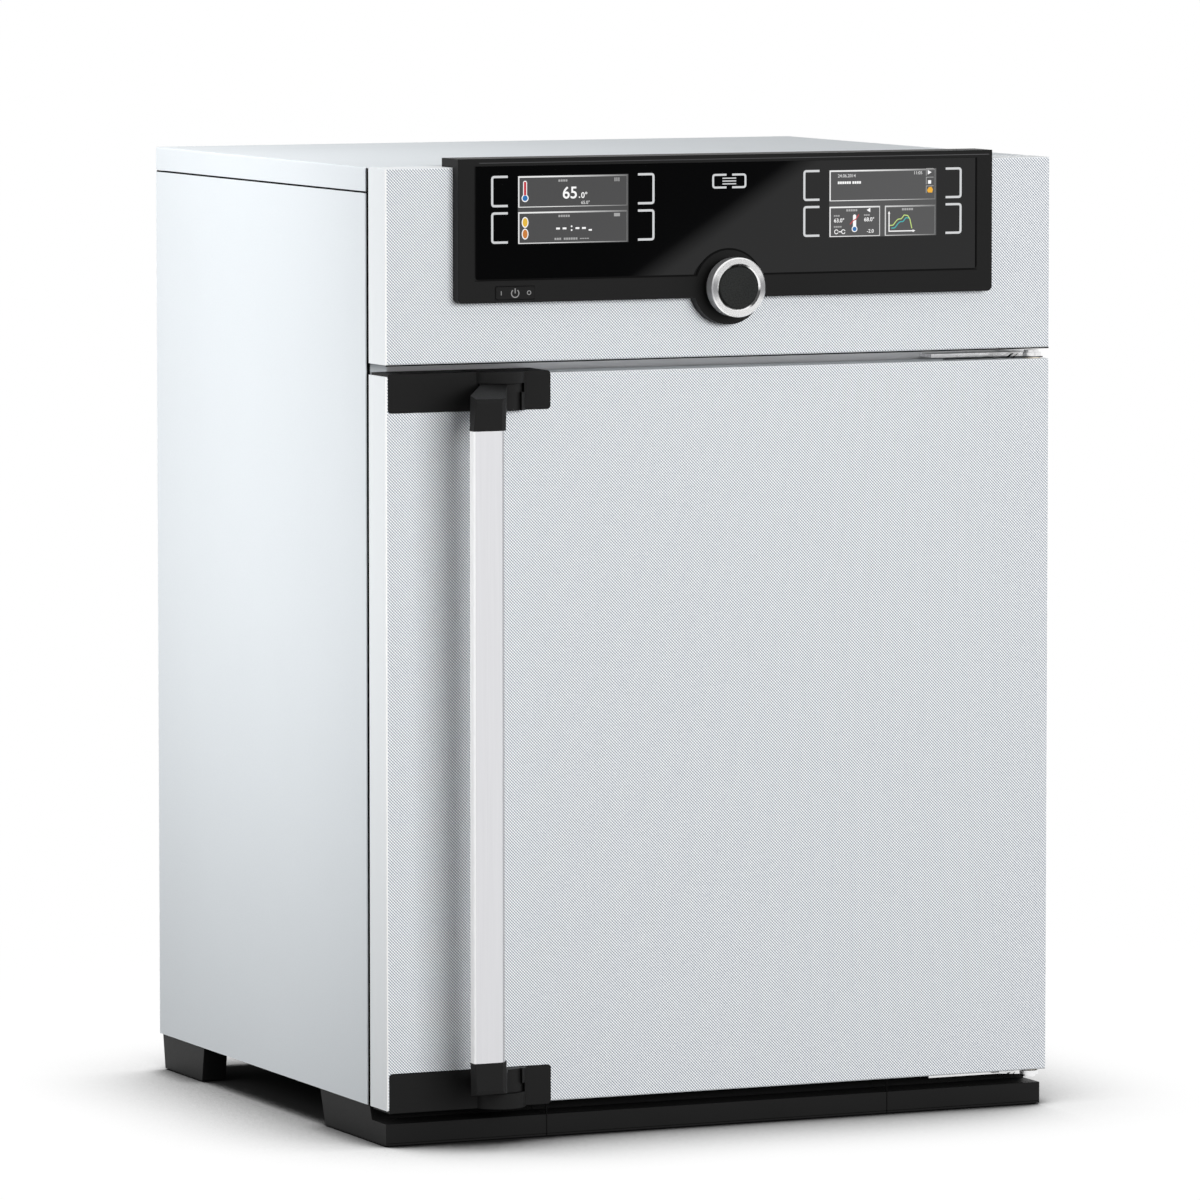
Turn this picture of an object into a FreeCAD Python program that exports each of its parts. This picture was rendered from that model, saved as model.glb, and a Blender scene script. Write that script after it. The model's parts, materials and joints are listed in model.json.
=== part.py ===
import FreeCAD, Part
import math
import os
from collections import namedtuple

import Sketcher

# A bench-top laboratory oven for melting and holding paraffin: a steel casing on black feet,
# a heated chamber with ribbed walls and shelves, a full-width door hinged on the right with a
# turning bar handle on the left, and a control panel with two displays and a push-turn control.
# Millimetres. Z points up from the floor, the door faces -Y, X runs to the viewer's right, and
# the origin is the middle of the bounding box's underside.

# Driving dimensions. Every other length is worked out from these.
SIZES = {
    # Casing
    "origin_to_handle": 285.0,
    "side_space": 92.5,
    "rear_space": 122.0,
    "sheet": 1.5,
    "lid_flange": 19.2,
    "lid_seam": 0.8,
    "front_flange": 18.0,
    "rear_flange": 14.0,
    "base_flange": 12.0,
    "bend_radius": 1.5,
    "fit_gap": 0.3,
    "running_gap": 0.05,
    # Door and control panel
    "door_depth": 35.0,
    "door_gap": 6.5,
    "end_space": 91.6,
    "panel_slot": 9.1,
    "panel_height": 154.7,
    "panel_neck": 10.0,
    "panel_neck_wall": 2.0,
    "panel_return": 14.0,
    "gasket_width": 12.0,
    "gasket_offset": 10.0,
    "door_field_rise": 2.5,
    "door_field_margin": 14.0,
    # Chamber
    "chamber_width": 400.0,
    "chamber_depth": 330.0,
    "chamber_height": 400.0,
    "chamber_sheet": 1.0,
    "rib_depth": 8.0,
    "rib_height": 30.0,
    "rib_slope": 3.0,
    "rib_pitch": 70.0,
    "rib_end_space": 20.0,
    "heater_radius": 2.8,
    "heater_end_gap": 10.0,
    "deck_drop": 6.6,
    "vent_height": 90.0,
    "vent_side": 60.0,
    "vent_outer_radius": 30.0,
    "vent_wall": 1.5,
    "vent_reach": 19.0,
    "vent_mouth_radius": 20.0,
    "vent_collar": 4.0,
    "flap_wall": 2.0,
    "flap_shaft_radius": 3.0,
    "flap_from_back": 30.0,
    "flap_drive": 12.0,
    "motor_width": 36.0,
    "motor_height": 40.0,
    "motor_depth": 38.0,
    "motor_clearance": 9.0,
    "sensor_radius": 2.0,
    "sensor_length": 35.0,
    "sensor_spacing": 24.0,
    "sensor_head_radius": 6.0,
    "sensor_head_length": 8.0,
    # Shelves and drip tray
    "shelf_side_gap": 1.5,
    "shelf_end_gap": 12.0,
    "frame_wire_radius": 2.5,
    "cross_wire_radius": 1.5,
    "weld_sink": 0.3,
    "tray_height": 15.0,
    "tray_sheet": 1.0,
    "tray_rim": 6.0,
    "tray_corner": 6.0,
    # Electronics behind the control panel
    "deck_flange": 10.0,
    "board_width": 180.0,
    "board_depth": 130.0,
    "board_sheet": 1.6,
    "standoff_height": 8.0,
    "standoff_radius": 4.0,
    "transformer_width": 66.0,
    "transformer_depth": 56.0,
    "transformer_height": 58.0,
    "winding_margin": 6.0,
    "capacitor_radius": 12.0,
    "capacitor_height": 40.0,
    "sink_base": 5.0,
    "sink_height": 30.0,
    "board_side": 120.0,
    "board_setback": 180.0,
    "cable_slot_width": 120.0,
    "cable_slot_height": 30.0,
    "panel_window_margin": 20.0,
    # Control cockpit
    "cockpit_width": 470.0,
    "cockpit_drop": 107.0,
    "cockpit_rise": 7.0,
    "cockpit_proud": 11.0,
    "cockpit_wrap": 22.0,
    "cockpit_wall": 4.0,
    "cockpit_corner": 4.0,
    "glass_side_margin": 14.0,
    "glass_top_margin": 6.0,
    "glass_bottom_margin": 18.0,
    "glass_sheet": 3.0,
    "glass_sink": 0.6,
    "glass_fit": 0.1,
    "bezel_edge": 1.0,
    "knob_drop": 98.2,
    "lobe_radius": 30.5,
    "ring_radius": 23.8,
    "ring_depth": 11.5,
    "ring_standoff": 8.0,
    "ring_neck_radius": 20.5,
    "button_radius": 17.0,
    "ring_web": 3.0,
    "ring_edge": 1.0,
    "post_radius": 14.0,
    "post_wall": 4.0,
    "post_length": 5.0,
    "button_depth": 4.0,
    "button_travel": 1.5,
    "button_sink": 0.4,
    "button_dish": 0.6,
    "stem_setback": 3.0,
    "encoder_radius": 13.0,
    "encoder_depth": 16.0,
    "display_width": 96.0,
    "display_height": 54.0,
    "display_depth": 5.0,
    "display_side": 136.0,
    "display_drop": 34.0,
    "switch_width": 33.0,
    "switch_height": 10.0,
    "switch_side": 186.5,
    "switch_drop": 99.3,
    "switch_proud": 0.6,
    "switch_depth": 7.0,
    "switch_travel": 1.5,
    # Handle and latches
    "handle_reach": 56.0,
    "latch_width": 139.5,
    "latch_inset": 1.8,
    "latch_proud": 0.6,
    "latch_corner": 3.0,
    "upper_latch_drop": 28.7,
    "lower_latch_rise": 29.5,
    "latch_overhang": 2.0,
    "upper_cap": 9.0,
    "lower_cap": 12.3,
    "hub_from_edge": 98.4,
    "hub_behind_front": 7.0,
    "hub_radius": 20.0,
    "shoulder_radius": 22.5,
    "shoulder_from_hub": 13.4,
    "notch_width": 3.8,
    "notch_height": 7.2,
    "pivot_radius": 4.0,
    "pivot_grip": 6.0,
    "bar_width": 27.0,
    "bar_depth": 9.5,
    "bar_bevel": 3.0,
    "bar_from_edge": 51.4,
    "bar_top_gap": 12.3,
    "bar_bottom_gap": 12.7,
    "arm_tip": 25.2,
    "arm_brow": 3.1,
    "arm_brow_depth": 1.6,
    "arm_taper": 2.4,
    "arm_root": 23.1,
    "arm_clearance": 1.3,
    "arm_gusset": 12.0,
    "hook_root": 8.0,
    "hook_width": 9.0,
    "hook_height": 8.0,
    "hook_entry": 9.0,
    "strike_depth": 16.0,
    "strike_side_gap": 3.0,
    "strike_end_gap": 2.0,
    "strike_rim": 6.0,
    "strike_sheet": 1.2,
    # Hinges
    "pin_from_edge": 10.0,
    "pin_behind_front": 12.0,
    "pin_radius": 4.0,
    "pin_length": 16.0,
    "hinge_sheet": 3.0,
    "hinge_gap": 1.6,
    "knuckle_radius": 8.0,
    "hinge_arm_length": 87.0,
    "hinge_front_edge": 20.0,
    "hinge_flange": 14.0,
    "hinge_tail": 28.0,
    "pin_head_radius": 6.0,
    "bush_wall": 2.0,
    "bush_flange": 1.2,
    "bush_flange_reach": 1.4,
    "door_plate_length": 90.0,
    "door_plate_sheet": 4.0,
    # Feet
    "foot_height": 30.0,
    "foot_front_drop": 11.7,
    "foot_front_setback": 7.5,
    "foot_shelf_depth": 29.0,
    "foot_side_inset": 2.0,
    "front_foot_width": 139.0,
    "front_toe_depth": 52.0,
    "front_foot_top_depth": 145.0,
    "front_foot_base_depth": 134.0,
    "front_foot_arm": 40.0,
    "rear_foot_width": 21.0,
    "rear_foot_top_depth": 94.0,
    "rear_foot_base_depth": 84.0,
    "rear_foot_setback": 2.0,
    "foot_pad_radius": 8.0,
    "foot_pad_height": 1.0,
    "foot_pad_inset": 14.0,
    "foot_wall": 3.0,
    # Rear panel fittings
    "inlet_width": 28.0,
    "inlet_height": 20.0,
    "inlet_depth": 26.0,
    "inlet_flange": 3.0,
    "inlet_side": 200.0,
    "inlet_lip": 3.0,
    "inlet_wall": 2.0,
    "inlet_rise": 60.0,
    "socket_spacing": 50.0,
    "socket_width": 16.0,
    "socket_height": 14.0,
    "socket_depth": 18.0,
    "plate_margin": 17.0,
    "plate_overlap": 6.0,
    "louvre_side": 150.0,
    "louvre_width": 46.0,
    "louvre_height": 4.0,
    "louvre_pitch": 12.0,
    "louvre_drop": 40.0,
    "screw_radius": 3.2,
    "screw_head": 2.0,
}

RIB_COUNT = 5
LOUVRE_COUNT = 7
SHELF_WIRES = 17
SHELF_BRACES = 3
TRAY_RIB = 0
LOWER_RIB = 1
UPPER_RIB = 3
FIN_COUNT = 6
SCREW_COUNT = 4
HANDLE_SWING_SINE = math.sin(math.radians(35))


class Size:
    """A length that keeps its value together with the formula that ties it to the sheet."""

    def __init__(self, value, formula):
        self.value = float(value)
        self.formula = formula

    def __add__(self, other):
        other = sized(other)
        return Size(self.value + other.value, "(%s + %s)" % (self.formula, other.formula))

    def __sub__(self, other):
        other = sized(other)
        return Size(self.value - other.value, "(%s - %s)" % (self.formula, other.formula))

    def __mul__(self, other):
        other = sized(other)
        return Size(self.value * other.value, "(%s * %s)" % (self.formula, other.formula))

    def __truediv__(self, other):
        other = sized(other)
        return Size(self.value / other.value, "(%s / %s)" % (self.formula, other.formula))

    def __neg__(self):
        return Size(-self.value, "(-1 * %s)" % self.formula)


Round = namedtuple("Round", "x y radius")


def sized(number):
    """A Size as it is, or a plain number as a Size."""
    return number if isinstance(number, Size) else Size(number, "(%r)" % float(number))


def root(size):
    """The square root of a Size."""
    return Size(math.sqrt(size.value), "sqrt(%s)" % size.formula)


def lower(one, two):
    return one if one.value <= two.value else two


def upper(one, two):
    return two if one.value <= two.value else one


doc = FreeCAD.newDocument("laboratory_oven")
sheet = doc.addObject("Spreadsheet::Sheet", "Sizes")
for row, (name, value) in enumerate(SIZES.items(), start=1):
    sheet.set("A%d" % row, name)
    sheet.set("B%d" % row, str(value))
    sheet.setAlias("B%d" % row, name)
doc.recompute()

s = namedtuple("Sheet", SIZES)(*(Size(sheet.get(name), "Sizes." + name) for name in SIZES))
zero = sized(0)
sub_parts = []


def named(label, item, x=zero, y=zero, z=zero):
    """Lists an object as a sub-part and ties its place to the sheet."""
    item.Label = label
    place(item, x, y, z)
    sub_parts.append(item)
    return item


def place(item, x, y, z):
    for axis, size in zip("xyz", (x, y, z)):
        item.setExpression("Placement.Base." + axis, sized(size).formula)


def new_body(label, x=zero, y=zero, z=zero):
    return named(label, doc.addObject("PartDesign::Body", label), x, y, z)


def draw(body, plane, level, loops):
    """A sketch on one of the body's origin planes, with polygons and circles as its loops."""
    sketch = body.newObject("Sketcher::SketchObject", "Sketch")
    support = next(f for f in body.Origin.OriginFeatures if f.Role == plane + "_Plane")
    sketch.AttachmentSupport = [(support, "")]
    sketch.MapMode = "FlatFace"
    offset = -level if plane == "XZ" else level
    sketch.setExpression("AttachmentOffset.Base.z", offset.formula)
    for loop in loops:
        if isinstance(loop, Round):
            draw_circle(sketch, loop)
        else:
            draw_polygon(sketch, [(sized(x), sized(y)) for x, y in loop])
    return sketch


def hold(sketch, kind, geometry, point, size):
    """Ties a point of a sketch's line or circle to the sketch's origin."""
    index = sketch.addConstraint(Sketcher.Constraint(kind, -1, 1, geometry, point, size.value))
    sketch.setExpression("Constraints[%d]" % index, size.formula)


def draw_polygon(sketch, points):
    corners = [FreeCAD.Vector(x.value, y.value, 0) for x, y in points]
    ends = corners[1:] + corners[:1]
    lines = [sketch.addGeometry(Part.LineSegment(a, b), False) for a, b in zip(corners, ends)]
    for line, following in zip(lines, lines[1:] + lines[:1]):
        sketch.addConstraint(Sketcher.Constraint("Coincident", line, 2, following, 1))
    for line, (x, y) in zip(lines, points):
        hold(sketch, "DistanceX", line, 1, x)
        hold(sketch, "DistanceY", line, 1, y)


def draw_circle(sketch, loop):
    x, y, radius = (sized(size) for size in loop)
    centre = FreeCAD.Vector(x.value, y.value, 0)
    line = sketch.addGeometry(
        Part.Circle(centre, FreeCAD.Vector(0, 0, 1), radius.value), False)
    hold(sketch, "DistanceX", line, 3, x)
    hold(sketch, "DistanceY", line, 3, y)
    index = sketch.addConstraint(Sketcher.Constraint("Radius", line, radius.value))
    sketch.setExpression("Constraints[%d]" % index, radius.formula)


def rectangle(x0, x1, y0, y1):
    return [(x0, y0), (x1, y0), (x1, y1), (x0, y1)]


def pad(body, plane, one, two, *loops):
    """Adds material between two levels of an origin plane."""
    one, two = sized(one), sized(two)
    near, far = lower(one, two), upper(one, two)
    sketch = draw(body, plane, far if plane == "XZ" else near, loops)
    feature = body.newObject("PartDesign::Pad", "Pad")
    feature.Profile = sketch
    feature.setExpression("Length", (far - near).formula)
    return feature


def pocket(body, plane, one, two, *loops):
    """Removes material between two levels of an origin plane."""
    one, two = sized(one), sized(two)
    near, far = lower(one, two), upper(one, two)
    sketch = draw(body, plane, near if plane == "XZ" else far, loops)
    feature = body.newObject("PartDesign::Pocket", "Pocket")
    feature.Profile = sketch
    feature.setExpression("Length", (far - near).formula)
    return feature


def revolve(body, plane, axis, points):
    """Turns an outline about one of its sketch's axes."""
    sketch = draw(body, plane, zero, [points])
    feature = body.newObject("PartDesign::Revolution", "Revolution")
    feature.Profile = sketch
    feature.ReferenceAxis = (sketch, [axis])
    feature.Angle = 360
    return feature


def repeat(body, originals, axis, pitch, count):
    """A row of copies of some features along a sketch axis of the first."""
    pattern = body.newObject("PartDesign::LinearPattern", "LinearPattern")
    pattern.Originals = originals
    pattern.Direction = (originals[0].Profile[0], [axis])
    pattern.Mode = "Spacing"
    pattern.setExpression("Offset", pitch.formula)
    pattern.Occurrences = count
    body.Tip = pattern
    return pattern


def soften(body, kind, size, chosen):
    """Rounds or bevels the tip's edges for which chosen(start, end) holds."""
    doc.recompute()
    tip = body.Tip
    names = []
    for number, edge in enumerate(tip.Shape.Edges, start=1):
        if len(edge.Vertexes) == 2:
            ends = [vertex.Point for vertex in edge.Vertexes]
            if chosen(*ends):
                names.append("Edge%d" % number)
    feature = body.newObject("PartDesign::" + kind, kind)
    feature.Base = (tip, names)
    feature.setExpression("Radius" if kind == "Fillet" else "Size", size.formula)
    return feature


def close(one, two):
    return abs(one - two) < 0.01


def block(name, x0, x1, y0, y1, z0, z1):
    """A box between six levels."""
    item = doc.addObject("Part::Box", name)
    for side, size in (("Length", x1 - x0), ("Width", y1 - y0), ("Height", z1 - z0)):
        item.setExpression(side, size.formula)
    place(item, x0, y0, z0)
    return item


def rod(name, axis, x, y, z, radius, length):
    """A cylinder that starts at a point and runs along an axis."""
    item = doc.addObject("Part::Cylinder", name)
    item.setExpression("Radius", radius.formula)
    item.setExpression("Height", length.formula)
    turns = {"X": ((0, 1, 0), 90), "Y": ((1, 0, 0), -90), "Z": ((0, 0, 1), 0)}
    direction, angle = turns[axis]
    item.Placement.Rotation = FreeCAD.Rotation(FreeCAD.Vector(*direction), angle)
    place(item, x, y, z)
    return item


def group(label, pieces):
    """Several separate solids that make one sub-part."""
    item = doc.addObject("Part::Compound", label)
    item.Links = pieces
    return named(label, item)


# Levels that the sub-parts share.
half_width = s.chamber_width / 2 + s.side_space
casing_width = half_width * 2
door_height = s.chamber_height + s.end_space * 2
casing_height = door_height + s.panel_slot + s.panel_height
casing_depth = s.sheet + s.chamber_depth + s.rear_space
door_front = s.handle_reach - s.origin_to_handle
door_back = door_front + s.door_depth
casing_front = door_back + s.door_gap
casing_back = casing_front + casing_depth
casing_floor = s.foot_height
casing_top = casing_floor + casing_height
side_top = casing_top - s.lid_flange - s.lid_seam
door_floor = casing_floor
door_top = door_floor + door_height
panel_floor = door_top + s.panel_slot
rear_inner = casing_back - s.sheet * 2
inner_half = half_width - s.sheet
frame_back = casing_front + s.sheet
frame_half = half_width - s.front_flange

chamber_half = s.chamber_width / 2
chamber_back = frame_back + s.chamber_depth
chamber_floor = door_floor + s.end_space
chamber_roof = chamber_floor + s.chamber_height
deck_level = door_top - s.deck_drop
insulation_depth = rear_inner - s.motor_depth - s.motor_clearance - frame_back
vent_x = s.vent_side
vent_z = (chamber_floor + chamber_roof) / 2 + s.vent_height
flap_y = casing_back - s.flap_from_back

hub_x = s.hub_from_edge - half_width
hub_y = door_front + s.hub_behind_front
upper_latch_floor = door_top - s.upper_latch_drop
upper_latch_top = door_top + s.latch_overhang
lower_latch_top = door_floor + s.lower_latch_rise
lower_latch_floor = door_floor - s.latch_overhang
upper_seam = upper_latch_top - s.upper_cap
lower_seam = lower_latch_floor + s.lower_cap
bar_top = upper_latch_floor - s.bar_top_gap
bar_bottom = lower_latch_top + s.bar_bottom_gap
hinge_x = half_width - s.pin_from_edge
hinge_y = door_front + s.pin_behind_front
knob_z = casing_top - s.knob_drop
cockpit_front = door_front - s.cockpit_proud
inlet_x = s.inlet_side
socket_x = s.inlet_side - s.socket_spacing
glass_seat = s.glass_sink + s.glass_sheet
stem_end = door_front - s.stem_setback
bush_radius = s.pin_radius + s.running_gap + s.bush_wall
first_rib = (s.chamber_height - s.rib_pitch * (RIB_COUNT - 1)) / 2
sensor_z = chamber_floor + first_rib + s.rib_pitch * 2
sensor_places = (-s.sensor_spacing / 2, s.sensor_spacing / 2)
upper_hook_z = (upper_latch_floor + upper_seam) / 2
lower_hook_z = (lower_latch_top + lower_seam) / 2
strike_left = (casing_front + s.hook_entry - hub_y) * HANDLE_SWING_SINE + s.hook_width
strike_right = s.hook_width / 2 + s.strike_side_gap
strike_half = s.hook_height / 2 + s.strike_end_gap


def rib_level(number):
    return chamber_floor + first_rib + s.rib_pitch * number


def side_panel(label, side):
    """A folded outer sheet whose front and rear flanges turn inwards; side is -1 for the left."""
    body = new_body(label, half_width * side, casing_front, casing_floor)
    depth = casing_depth
    front = s.front_flange * -side
    rear = s.rear_flange * -side
    inside = s.sheet * -side
    outline = [
        (0, 0), (front, 0), (front, s.sheet), (inside, s.sheet),
        (inside, depth - s.sheet), (rear, depth - s.sheet), (rear, depth), (0, depth),
    ]
    pad(body, "XY", 0, side_top - casing_floor, outline)
    soften(body, "Fillet", s.bend_radius, lambda a, b: close(a.x, 0) and close(b.x, 0)
           and close(a.y, 0) and close(b.y, 0))


def top_cover():
    """The lid: a shallow pan turned upside down over the side sheets."""
    body = new_body("top_cover", -half_width, casing_front, side_top + s.lid_seam)
    width, depth, height = casing_width, casing_depth, s.lid_flange
    pad(body, "XY", 0, height, rectangle(0, width, 0, depth))
    soften(body, "Fillet", s.bend_radius, lambda a, b: close(a.z, height.value)
           and close(b.z, height.value))
    pocket(body, "XY", 0, height - s.sheet,
           rectangle(s.sheet, width - s.sheet, s.sheet, depth - s.sheet))


def plate_outline(margin, level):
    """The outline round both rear sockets, drawn in from the connection plate's edge."""
    half_z = s.inlet_height / 2 + s.plate_margin - margin
    left = socket_x - s.socket_width / 2 - s.plate_margin + margin
    right = inlet_x + s.inlet_width / 2 + s.plate_margin - margin
    return rectangle(left, right, level - half_z, level + half_z)


def rear_panel():
    """The back sheet with its vent hole, connection window and two columns of louvres."""
    body = new_body("rear_panel", zero, rear_inner, casing_floor)
    half = inner_half - s.fit_gap
    height = side_top - casing_floor
    pad(body, "XZ", 0, s.sheet, rectangle(-half, half, 0, height))
    pocket(body, "XZ", 0, s.sheet,
           Round(vent_x, vent_z - casing_floor, s.vent_outer_radius + s.fit_gap))
    pocket(body, "XZ", 0, s.sheet, plate_outline(s.plate_overlap, s.inlet_rise - casing_floor))
    top = height - s.louvre_drop
    for x in (-s.louvre_side, s.louvre_side):
        slot = pocket(body, "XZ", 0, s.sheet, rectangle(
            x - s.louvre_width / 2, x + s.louvre_width / 2, top - s.louvre_height, top))
        pattern = repeat(body, [slot], "V_Axis", s.louvre_pitch, LOUVRE_COUNT)
        pattern.Reversed = True


def channel(half, flange):
    """The section of a sheet with two upturned flanges."""
    inside = half - s.sheet
    return [(-half, 0), (half, 0), (half, flange), (inside, flange), (inside, s.sheet),
            (-inside, s.sheet), (-inside, flange), (-half, flange)]


def base_plate():
    body = new_body("base_plate", zero, frame_back, casing_floor)
    pad(body, "XZ", 0, rear_inner - frame_back, channel(inner_half, s.base_flange))


def strike_hole(level):
    """The outline of the hole that a strike's cup passes through."""
    wall = s.strike_sheet + s.fit_gap
    return rectangle(hub_x - strike_left - wall, hub_x + strike_right + wall,
                     level - strike_half - wall, level + strike_half + wall)


def front_frame():
    """The stainless front that the door seal closes on, open at the chamber and the strikes."""
    body = new_body("front_frame", zero, casing_front, casing_floor)
    height = side_top - casing_floor
    pad(body, "XZ", 0, s.sheet, rectangle(-frame_half, frame_half, 0, height),
        rectangle(-chamber_half, chamber_half,
                  chamber_floor - casing_floor, chamber_roof - casing_floor))
    for level in (upper_hook_z, lower_hook_z):
        pocket(body, "XZ", 0, s.sheet, strike_hole(level - casing_floor))
    cable_z = knob_z - casing_floor
    pocket(body, "XZ", 0, s.sheet, rectangle(
        -s.cable_slot_width / 2, s.cable_slot_width / 2,
        cable_z - s.cable_slot_height / 2, cable_z + s.cable_slot_height / 2))


def chamber_wall(label, side):
    """A side wall of the chamber with hollow pressed ribs, which carry the shelves in front
    and hold the heating rods behind."""
    body = new_body(label, chamber_half * side, frame_back, chamber_floor)
    pad(body, "XZ", 0, s.chamber_depth,
        rectangle(0, s.chamber_sheet * side, 0, s.chamber_height))
    start = s.rib_end_space
    end = s.chamber_depth - s.rib_end_space
    middle = first_rib
    foot = s.rib_height / 2
    crest = foot - s.rib_slope
    rib = pad(body, "XZ", start, end, [
        (0, middle - foot), (s.rib_depth * -side, middle - crest),
        (s.rib_depth * -side, middle + crest), (0, middle + foot)])
    wall = s.chamber_sheet
    hollow = pocket(body, "XZ", start + wall, end - wall, [
        (wall * side, middle - foot + wall), ((s.rib_depth - wall) * -side, middle - crest + wall),
        ((s.rib_depth - wall) * -side, middle + crest - wall), (wall * side, middle + foot - wall)])
    repeat(body, [rib, hollow], "V_Axis", s.rib_pitch, RIB_COUNT)


def chamber_plate(label, level, side):
    """The chamber's floor (side -1) or roof (side 1)."""
    body = new_body(label, zero, frame_back, level)
    half = chamber_half + s.chamber_sheet
    pad(body, "XY", 0, s.chamber_sheet * side, rectangle(-half, half, 0, s.chamber_depth))


def chamber_back_wall():
    body = new_body("chamber_back_wall", zero, chamber_back, chamber_floor - s.chamber_sheet)
    half = chamber_half + s.chamber_sheet
    height = s.chamber_height + s.chamber_sheet * 2
    level = vent_z - chamber_floor + s.chamber_sheet
    pad(body, "XZ", 0, s.chamber_sheet, rectangle(-half, half, 0, height),
        Round(vent_x, level, s.vent_mouth_radius))
    for x in sensor_places:
        pocket(body, "XZ", 0, s.chamber_sheet,
               Round(x, sensor_z - chamber_floor + s.chamber_sheet, s.sensor_radius + s.fit_gap))


def chamber_insulation():
    """The mineral wool round the chamber, in one block with its cut-outs."""
    floor = casing_floor + s.sheet
    body = new_body("chamber_insulation", zero, frame_back, floor)
    half = inner_half - s.sheet - s.fit_gap
    pad(body, "XZ", 0, insulation_depth, rectangle(-half, half, 0, deck_level - floor))
    hollow = chamber_half + s.chamber_sheet + s.fit_gap
    margin = s.chamber_sheet + s.fit_gap
    pocket(body, "XZ", 0, s.chamber_depth + margin, rectangle(
        -hollow, hollow, chamber_floor - floor - margin, chamber_roof - floor + margin))
    pocket(body, "XZ", 0, insulation_depth,
           Round(vent_x, vent_z - floor, s.vent_outer_radius + s.fit_gap))
    for x in sensor_places:
        pocket(body, "XZ", 0, insulation_depth,
               Round(x, sensor_z - floor, s.sensor_head_radius + s.fit_gap))
    for level in (upper_hook_z, lower_hook_z):
        pocket(body, "XZ", 0, s.strike_depth + s.fit_gap, strike_hole(level - floor))


def chamber_heaters():
    """A heating rod in the hollow of each rib."""
    rods = []
    seat = chamber_half - s.rib_depth + s.chamber_sheet + s.heater_radius + s.running_gap
    start = frame_back + s.rib_end_space + s.heater_end_gap
    length = s.chamber_depth - (s.rib_end_space + s.heater_end_gap) * 2
    for side in (-1, 1):
        for number in range(RIB_COUNT):
            rods.append(rod("Heater", "Y", seat * side, start, rib_level(number),
                            s.heater_radius, length))
    group("chamber_heaters", rods)


def temperature_sensors():
    """Two probes that reach through the back wall into the chamber."""
    probes = []
    for x in sensor_places:
        tip = rod("Tip", "Y", x, chamber_back - s.sensor_length, sensor_z, s.sensor_radius,
                  s.sensor_length + s.chamber_sheet + s.sensor_head_length)
        head = rod("Head", "Y", x, chamber_back + s.chamber_sheet, sensor_z,
                   s.sensor_head_radius, s.sensor_head_length)
        probe = doc.addObject("Part::Fuse", "Probe")
        probe.Base = tip
        probe.Tool = head
        probes.append(probe)
    group("temperature_sensors", probes)


def vent_tube():
    """The air outlet: a tube from the chamber to a spigot, with a collar on the rear panel."""
    start = chamber_back + s.chamber_sheet
    body = new_body("vent_tube", vent_x, start, vent_z)
    length = casing_back + s.vent_reach - start
    outer = s.vent_outer_radius
    inner = outer - s.vent_wall
    collar = outer + s.vent_collar
    collar_back = casing_back - start
    collar_front = collar_back - s.sheet
    revolve(body, "YZ", "H_Axis", [
        (0, inner), (length, inner), (length, outer), (collar_back, outer),
        (collar_back, collar), (collar_front, collar), (collar_front, outer), (0, outer)])
    pocket(body, "XY", -outer, outer,
           Round(0, flap_y - start, s.flap_shaft_radius + s.running_gap))


def vent_flap():
    """The throttle disc on its upright shaft, closed at rest."""
    body = new_body("vent_flap", vent_x, flap_y, vent_z)
    disc = s.vent_outer_radius - s.vent_wall - s.fit_gap * 2
    pad(body, "XZ", -s.flap_wall / 2, s.flap_wall / 2, Round(0, 0, disc))
    pad(body, "XY", -s.vent_outer_radius - s.flap_wall,
        s.vent_outer_radius + s.fit_gap + s.flap_drive, Round(0, 0, s.flap_shaft_radius))


def flap_motor():
    """The stepping drive above the vent tube, fixed to the rear panel."""
    body = new_body("flap_motor", vent_x, flap_y, vent_z + s.vent_outer_radius + s.fit_gap)
    back = rear_inner - flap_y
    pad(body, "XY", 0, s.motor_height, rectangle(
        -s.motor_width / 2, s.motor_width / 2, back - s.motor_depth, back))
    pocket(body, "XY", 0, s.flap_drive + s.fit_gap,
           Round(0, 0, s.flap_shaft_radius + s.running_gap))
    soften(body, "Chamfer", s.sheet, lambda a, b: close(a.z, s.motor_height.value)
           and close(b.z, s.motor_height.value))


def electronics_tray():
    body = new_body("electronics_tray", zero, frame_back, deck_level)
    pad(body, "XZ", s.fit_gap, rear_inner - frame_back - s.fit_gap,
        channel(inner_half - s.fit_gap, s.deck_flange))


def power_board():
    """The power circuit board on four posts, with its heat sink and capacitors."""
    body = new_body("power_board", -s.board_side, s.board_setback + casing_front,
                    deck_level + s.sheet)
    half_x, half_y = s.board_width / 2, s.board_depth / 2
    top = s.standoff_height + s.board_sheet
    pad(body, "XY", s.standoff_height, top, rectangle(-half_x, half_x, -half_y, half_y))
    inset = s.standoff_radius * 2
    posts = [Round(x, y, s.standoff_radius)
             for x in (inset - half_x, half_x - inset) for y in (inset - half_y, half_y - inset)]
    pad(body, "XY", 0, s.standoff_height, *posts)
    pad(body, "XY", top, top + s.capacitor_height,
        Round(half_x / 2, half_y / 2, s.capacitor_radius),
        Round(half_x / 2, -half_y / 2, s.capacitor_radius))
    sink = half_x / 2
    pad(body, "XY", top, top + s.sink_base, rectangle(-half_x + inset, -half_x + inset + sink,
                                                      -half_y / 2, half_y / 2))
    fin = pad(body, "XY", top + s.sink_base, top + s.sink_height, rectangle(
        -half_x + inset, -half_x + inset + s.board_sheet, -half_y / 2, half_y / 2))
    repeat(body, [fin], "H_Axis", (sink - s.board_sheet) / (FIN_COUNT - 1), FIN_COUNT)


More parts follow.
